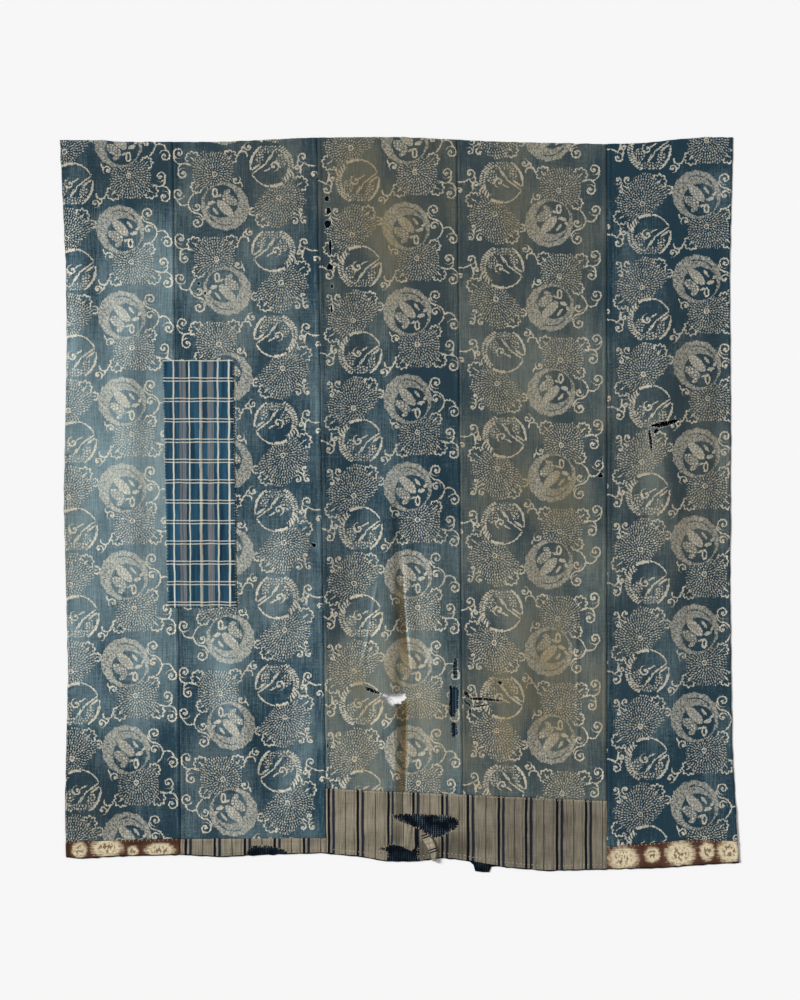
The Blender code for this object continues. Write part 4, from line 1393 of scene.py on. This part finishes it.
class FUTON_OT_sew_patch(bpy.types.Operator):
    """Sew the check-woven patch on the face, over the first seam"""
    bl_idname = "futon.sew_patch"
    bl_label = "Sew Check Patch"

    def execute(self, context):
        settings = context.scene.futon_panels
        check = checked_cotton(context.scene.futon_patchwork)
        edges = (PATCH_LEFT, PATCH_RIGHT, PATCH_BOTTOM, PATCH_TOP)
        left, right, foot, top = (wavering(edge, *waver) for edge, waver in zip(edges, PATCH_WAVERS))
        shape = grid_between((left, right), (foot, top), *PATCH_GRID)
        lift = settings.sheet / MM + GAP

        def height(x, y):
            creases = sum(fold_height(crease, x, y) for crease in PATCH_CREASES)
            rim = min(x - left(y), right(y) - x, y - foot(x), top(x) - y)
            return lie(x, y, settings) + lift + creases + swell(rim + 1.5, *PATCH_ROLL)

        def pattern(place):
            return place.x - follow(PATCH_WARP, place.y), place.y - PATCH_WEFT

        cover(
            "check_patch", shape, height, settings.sheet / MM, check, "check_cotton", "patch_check", pattern)
        return {"FINISHED"}


class FUTON_OT_sew_hems(bpy.types.Operator):
    """Sew the striped band and the striped and ikat hem strips"""
    bl_idname = "futon.sew_hems"
    bl_label = "Sew Band and Hems"

    def execute(self, context):
        settings = context.scene.futon_panels
        stripe = striped_cotton(context.scene.futon_patchwork, "striped_grey_cotton", BAND_SHADES)
        ikat = ikat_cotton(context.scene.futon_patchwork)
        free = wavering(BOTTOM_EDGE, *FREE_WAVER)
        rows = (
            ("hem_ikat_left", 12, ikat, "ikat_cotton"), ("hem_stripe_left", 12, stripe, "striped_cotton"),
            ("band_left", 44, stripe, "striped_cotton"), ("band_right", 44, stripe, "striped_cotton"),
            ("hem_ikat_right", 16, ikat, "ikat_cotton"),
        )
        for number, (name, count, cloth, slot) in enumerate(rows, start=1):
            sides, upper = (side_edge(number - 1), side_edge(number)), foot_edge(number)
            ends = (lambda x: free(x) + HEM_SET_BACK, upper)
            shape = grid_between(sides, ends, HEM_COLUMNS, count, HEM_CROWDING)
            if name in WORN_GAPS:
                trim(shape, [list(outline) for outline in WORN_GAPS[name]])

            def height(x, y, upper=upper):
                reach = settings.ridge_reach / MM
                seam = swell(upper(x) - y + 1.0, reach, settings.ridge / MM)
                return lie(x, y, settings) + seam + swell(y - free(x), reach, FREE_ROLL)

            lines = STRIPE_LINES.get(name)

            def pattern(place, lines=lines):
                if lines is None:
                    return place.x, place.y
                steps = [(line, number * STRIPE_REPEAT) for number, line in enumerate(lines)]
                return follow(steps, place.x), place.y

            cover(f"sewn_{name}", shape, height, settings.sheet / MM, cloth, slot, name, pattern)
        return {"FINISHED"}


class FUTON_OT_lay_lining(bpy.types.Operator):
    """Lay the dark lining under the hem and the scraps behind the tears"""
    bl_idname = "futon.lay_lining"
    bl_label = "Lay Lining and Backings"

    def execute(self, context):
        navy = navy_cotton(context.scene.futon_patchwork)
        backing = backing_cotton(context.scene.futon_patchwork)
        first, last = BOTTOM_EDGE[0][0], BOTTOM_EDGE[-1][0]
        free = [first + (last - first) * step / LINING_STEPS for step in range(LINING_STEPS + 1)]
        edge = wavering(BOTTOM_EDGE, *LINING_WAVER)
        before = [(x, edge(x)) for x in free if x < LINING_TONGUE[0][0] - 5]
        after = [(x, edge(x)) for x in free if x > LINING_TONGUE[-1][0] + 5]
        outline = before + list(LINING_TONGUE) + after + list(LINING_UPPER)
        shape = grid_over(first + 0.5, last - 0.5, *LINING_SPAN, counts=LINING_GRID)
        trim(shape, [outline], keep_inside=True)

        def height(x, y):
            return UNDERLAY_LIFT + UNDERLAY_LIFT * noise.noise((x / 30.0, y / 30.0, 9.0))

        def pattern(place):
            return place.x, place.y

        cover("hem_lining", shape, height, UNDERLAY_SHEET, navy, "navy_cotton", "lining_hem", pattern)
        for name, *bounds in UNDERLAYS:
            shape = grid_over(*bounds, step=SCRAP_STEP)
            cover(f"mending_{name}", shape, height, UNDERLAY_SHEET, backing, "navy_cotton", name, pattern)
        return {"FINISHED"}


class FUTON_OT_lay_torn_bits(bpy.types.Operator):
    """Lay the flap and the twisted strip that tore off the band"""
    bl_idname = "futon.lay_torn_bits"
    bl_label = "Lay Torn Bits"

    def execute(self, context):
        settings = context.scene.futon_panels
        stripe = striped_cotton(context.scene.futon_patchwork, "striped_grey_cotton_torn", TORN_SHADES)
        lift = RAISED + settings.sheet / MM + 4.0 * GAP
        rows = (
            ("torn_flap", TORN_FLAP, FLAP_CREASES, lambda place: (place.x - 37.5, place.y)),
            ("torn_strip", TORN_STRIP, STRIP_CREASES,
             lambda place: (-place.y * 1.7 + 0.6 * place.x, place.x)),
        )
        for name, outline, creases, pattern in rows:
            xs, ys = zip(*outline)
            shape = grid_over(min(xs), max(xs), min(ys), max(ys), step=BIT_STEP)
            trim(shape, [list(outline)], keep_inside=True)

            def height(x, y, creases=creases):
                wrinkles = sum(fold_height(crease, x, y) for crease in creases)
                return lift + wrinkles + 0.5 * abs(noise.noise((x / 9.0, y / 12.0, 3.0)))

            cover(
                f"band_{name}", shape, height, settings.sheet / MM, stripe, "striped_cotton", name, pattern)
        return {"FINISHED"}


class FUTON_OT_sew_stitches(bpy.types.Operator):
    """Sew the stitches along the patch, the band, the hems, the seams and the left edge"""
    bl_idname = "futon.sew_stitches"
    bl_label = "Sew Stitches"

    def execute(self, context):
        panels, settings = context.scene.futon_panels, context.scene.futon_stitches
        chance = random.Random(11)
        threads = {
            "undyed": thread_cotton("undyed_sewing_thread", settings.undyed),
            "indigo": thread_cotton("indigo_sewing_thread", settings.dyed),
        }
        long, thick = settings.stitch / MM, settings.thread / MM
        gaps = [list(outline) for rows in WORN_GAPS.values() for outline in rows]
        gaps += [ragged(tear) for tear in TEARS]
        for name, thread, runs in STITCHES:
            shape = bmesh.new()
            for line, upright, start, end, aside, pitch, turn, lift in runs:
                place = start
                while place < end:
                    beside = follow(line, place) + aside + chance.uniform(-0.5, 0.5)
                    x, y = (beside, place) if upright else (place, beside)
                    place += pitch * chance.uniform(0.85, 1.2)
                    if not on_cloth(x, y, gaps):
                        continue
                    z = lie(x, y, panels) + panels.sheet / MM * (1.0 + lift) + STITCH_LIFT
                    angle = math.radians(turn + chance.uniform(-14, 14))
                    size = (long * chance.uniform(0.75, 1.15), thick * 1.3, thick)
                    form = Matrix.LocRotScale((x, y, z), Euler((0, 0, angle)), size)
                    bmesh.ops.create_icosphere(shape, subdivisions=1, radius=0.5, matrix=form)
            for face in shape.faces:
                face.smooth = True
            keep(name, shape, threads[thread], None)
        return {"FINISHED"}


class FUTON_OT_fray_tears(bpy.types.Operator):
    """Leave loose threads along the tears, the worn gaps and the torn bits"""
    bl_idname = "futon.fray_tears"
    bl_label = "Fray Tears"

    def execute(self, context):
        panels, settings = context.scene.futon_panels, context.scene.futon_stitches
        chance = random.Random(23)
        # Each kind of thread with the draw, from nought to one, up to which a thread is of that kind
        threads = (
            ("loose_undyed_threads", settings.undyed, 0.62), ("loose_indigo_threads", settings.dyed, 0.95),
            ("loose_madder_threads", settings.madder, 1.0),
        )
        shapes = [bmesh.new() for _ in threads]
        edges = [(ragged(tear), min(tear.wide, 8.0)) for tear in TEARS if not tear.name.startswith("burn")]
        edges += [(list(outline), 14.0) for gaps in WORN_GAPS.values() for outline in gaps]
        for outline, wide in edges:
            turning = sum((end[0] - start[0]) * (end[1] + start[1]) for start, end in sides_of(outline))
            for start, end in sides_of(outline):
                start, end = Vector(start), Vector(end)
                along = (end - start).normalized()
                inward = Vector((-along.y, along.x)) * (1.0 if turning < 0 else -1.0)
                pitch = FRAY_PITCH * (1.0 if wide > 9.0 else SLIT_PITCH)
                for _ in range(round((end - start).length / pitch + chance.random() - 0.5)):
                    draw = chance.random()
                    shape = next(shape for shape, row in zip(shapes, threads) if draw <= row[2])
                    point = start.lerp(end, chance.random()) - inward * 1.2
                    if not on_cloth(point.x, point.y):
                        continue
                    height = lie(point.x, point.y, panels) + panels.sheet / MM + FRAY_LIFT
                    reach = chance.uniform(0.35, 1.0) * min(settings.fray / MM, 0.8 * wide + 1.5)
                    bend = chance.uniform(-0.7, 0.7)
                    points = [(point.x, point.y, height)]
                    for step in (1, 2, 3):
                        point += (inward + along * bend * step / 2).normalized() * reach / 3
                        height = max(height - chance.uniform(0.0, 0.5), RAISED)
                        points.append((point.x, point.y, height))
                    thread_through(shape, points, settings.thread / MM * 0.7)
        for (name, dye, _), shape in zip(threads, shapes):
            keep(name, shape, thread_cotton(name.replace("loose_", "") + "_cotton", dye), None)
        return {"FINISHED"}


class FUTON_OT_set_stage(bpy.types.Operator):
    """Lay the pale floor, light it softly from the upper left and place the camera"""
    bl_idname = "futon.set_stage"
    bl_label = "Set Stage"

    def execute(self, context):
        settings = context.scene.futon_stage
        shape = bmesh.new()
        bmesh.ops.create_grid(shape, x_segments=1, y_segments=1, size=settings.floor / 2)
        mesh = bpy.data.meshes.new("studio_floor")
        shape.to_mesh(mesh)
        shape.free()
        # Matt painted board: even and pale, so that the cover's own shadow shows
        material = bpy.data.materials.new("painted_studio_board")
        material.use_nodes = True
        tree = material.node_tree
        place = add(tree, "ShaderNodeTexCoord").outputs["Object"]
        mottle = add(tree, NOISE, place, values={"Scale": 3.0}, **FLAT)
        dull = add(tree, RANGE, mottle, 0.3, 0.7, 0.9, 1.0)
        shader = tree.nodes["Principled BSDF"]
        tree.links.new(dull.outputs["Result"], shader.inputs["Roughness"])
        shader.inputs["Base Color"].default_value = (*settings.floor_colour, 1.0)
        shader.inputs["Specular IOR Level"].default_value = 0.0
        mesh.materials.append(material)
        floor = bpy.data.objects.new("studio_floor", mesh)
        floor.location.z = -FLOOR_DROP * MM
        context.scene.collection.objects.link(floor)
        floor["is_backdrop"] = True

        lamp = bpy.data.lights.new("softbox_upper_left", "SUN")
        lamp.energy = settings.lamp
        lamp.angle = math.radians(LAMP_SPREAD)
        softbox = bpy.data.objects.new("softbox_upper_left", lamp)
        softbox.rotation_euler = Vector(LAMP_FROM).to_track_quat("Z", "Y").to_euler()
        context.scene.collection.objects.link(softbox)

        world = bpy.data.worlds.new("studio_light")
        world.use_nodes = True
        light = world.node_tree.nodes["Background"].inputs
        light["Color"].default_value = (1.0, 1.0, 1.0, 1.0)
        light["Strength"].default_value = settings.fill
        context.scene.world = world

        lens = bpy.data.cameras.new("overhead_camera")
        lens.lens = LENS
        lens.sensor_width = FILM
        camera = bpy.data.objects.new("overhead_camera", lens)
        height = LENS / FILM * PHOTO_HEIGHT * MM_PER_PIXEL * MM
        camera.location = (AIM[0] * MM, AIM[1] * MM, height)
        context.scene.collection.objects.link(camera)
        context.scene.camera = camera
        context.scene.view_settings.view_transform = "Standard"
        return {"FINISHED"}


class FUTON_PT_cover(bpy.types.Panel):
    """The steps of the boro futon cover"""
    bl_label = "Boro Futon Cover"
    bl_idname = "FUTON_PT_cover"
    bl_space_type = "VIEW_3D"
    bl_region_type = "UI"
    bl_category = "Boro Cover"

    def draw(self, context):
        for step in STEPS:
            self.layout.operator(step.bl_idname)
        for group in GROUPS:
            settings = getattr(context.scene, group)
            self.layout.separator()
            for name in settings.bl_rna.properties.keys():
                if name not in ("rna_type", "name"):
                    self.layout.prop(settings, name)


STEPS = (
    FUTON_OT_sew_panels, FUTON_OT_sew_patch, FUTON_OT_sew_hems, FUTON_OT_lay_lining, FUTON_OT_lay_torn_bits,
    FUTON_OT_sew_stitches, FUTON_OT_fray_tears, FUTON_OT_set_stage,
)
GROUPS = {
    "futon_panels": DyedPanelSettings,
    "futon_patchwork": PatchworkSettings,
    "futon_stitches": StitchSettings,
    "futon_stage": StageSettings,
}


def register():
    for item in (*GROUPS.values(), *STEPS, FUTON_PT_cover):
        bpy.utils.register_class(item)
    for name, group in GROUPS.items():
        setattr(bpy.types.Scene, name, bpy.props.PointerProperty(type=group))


def unregister():
    for name in GROUPS:
        delattr(bpy.types.Scene, name)
    for item in reversed((*GROUPS.values(), *STEPS, FUTON_PT_cover)):
        bpy.utils.unregister_class(item)


def main():
    register()
    bpy.ops.futon.sew_panels()
    bpy.ops.futon.sew_patch()
    bpy.ops.futon.sew_hems()
    bpy.ops.futon.lay_lining()
    bpy.ops.futon.lay_torn_bits()
    bpy.ops.futon.sew_stitches()
    bpy.ops.futon.fray_tears()
    bpy.ops.futon.set_stage()
    boxes = {"cad": CAD_BOX, "visual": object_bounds()}
    {name: [list(corner) for corner in box] for name, box in boxes.items()}


if __name__ == "__main__":
    main()
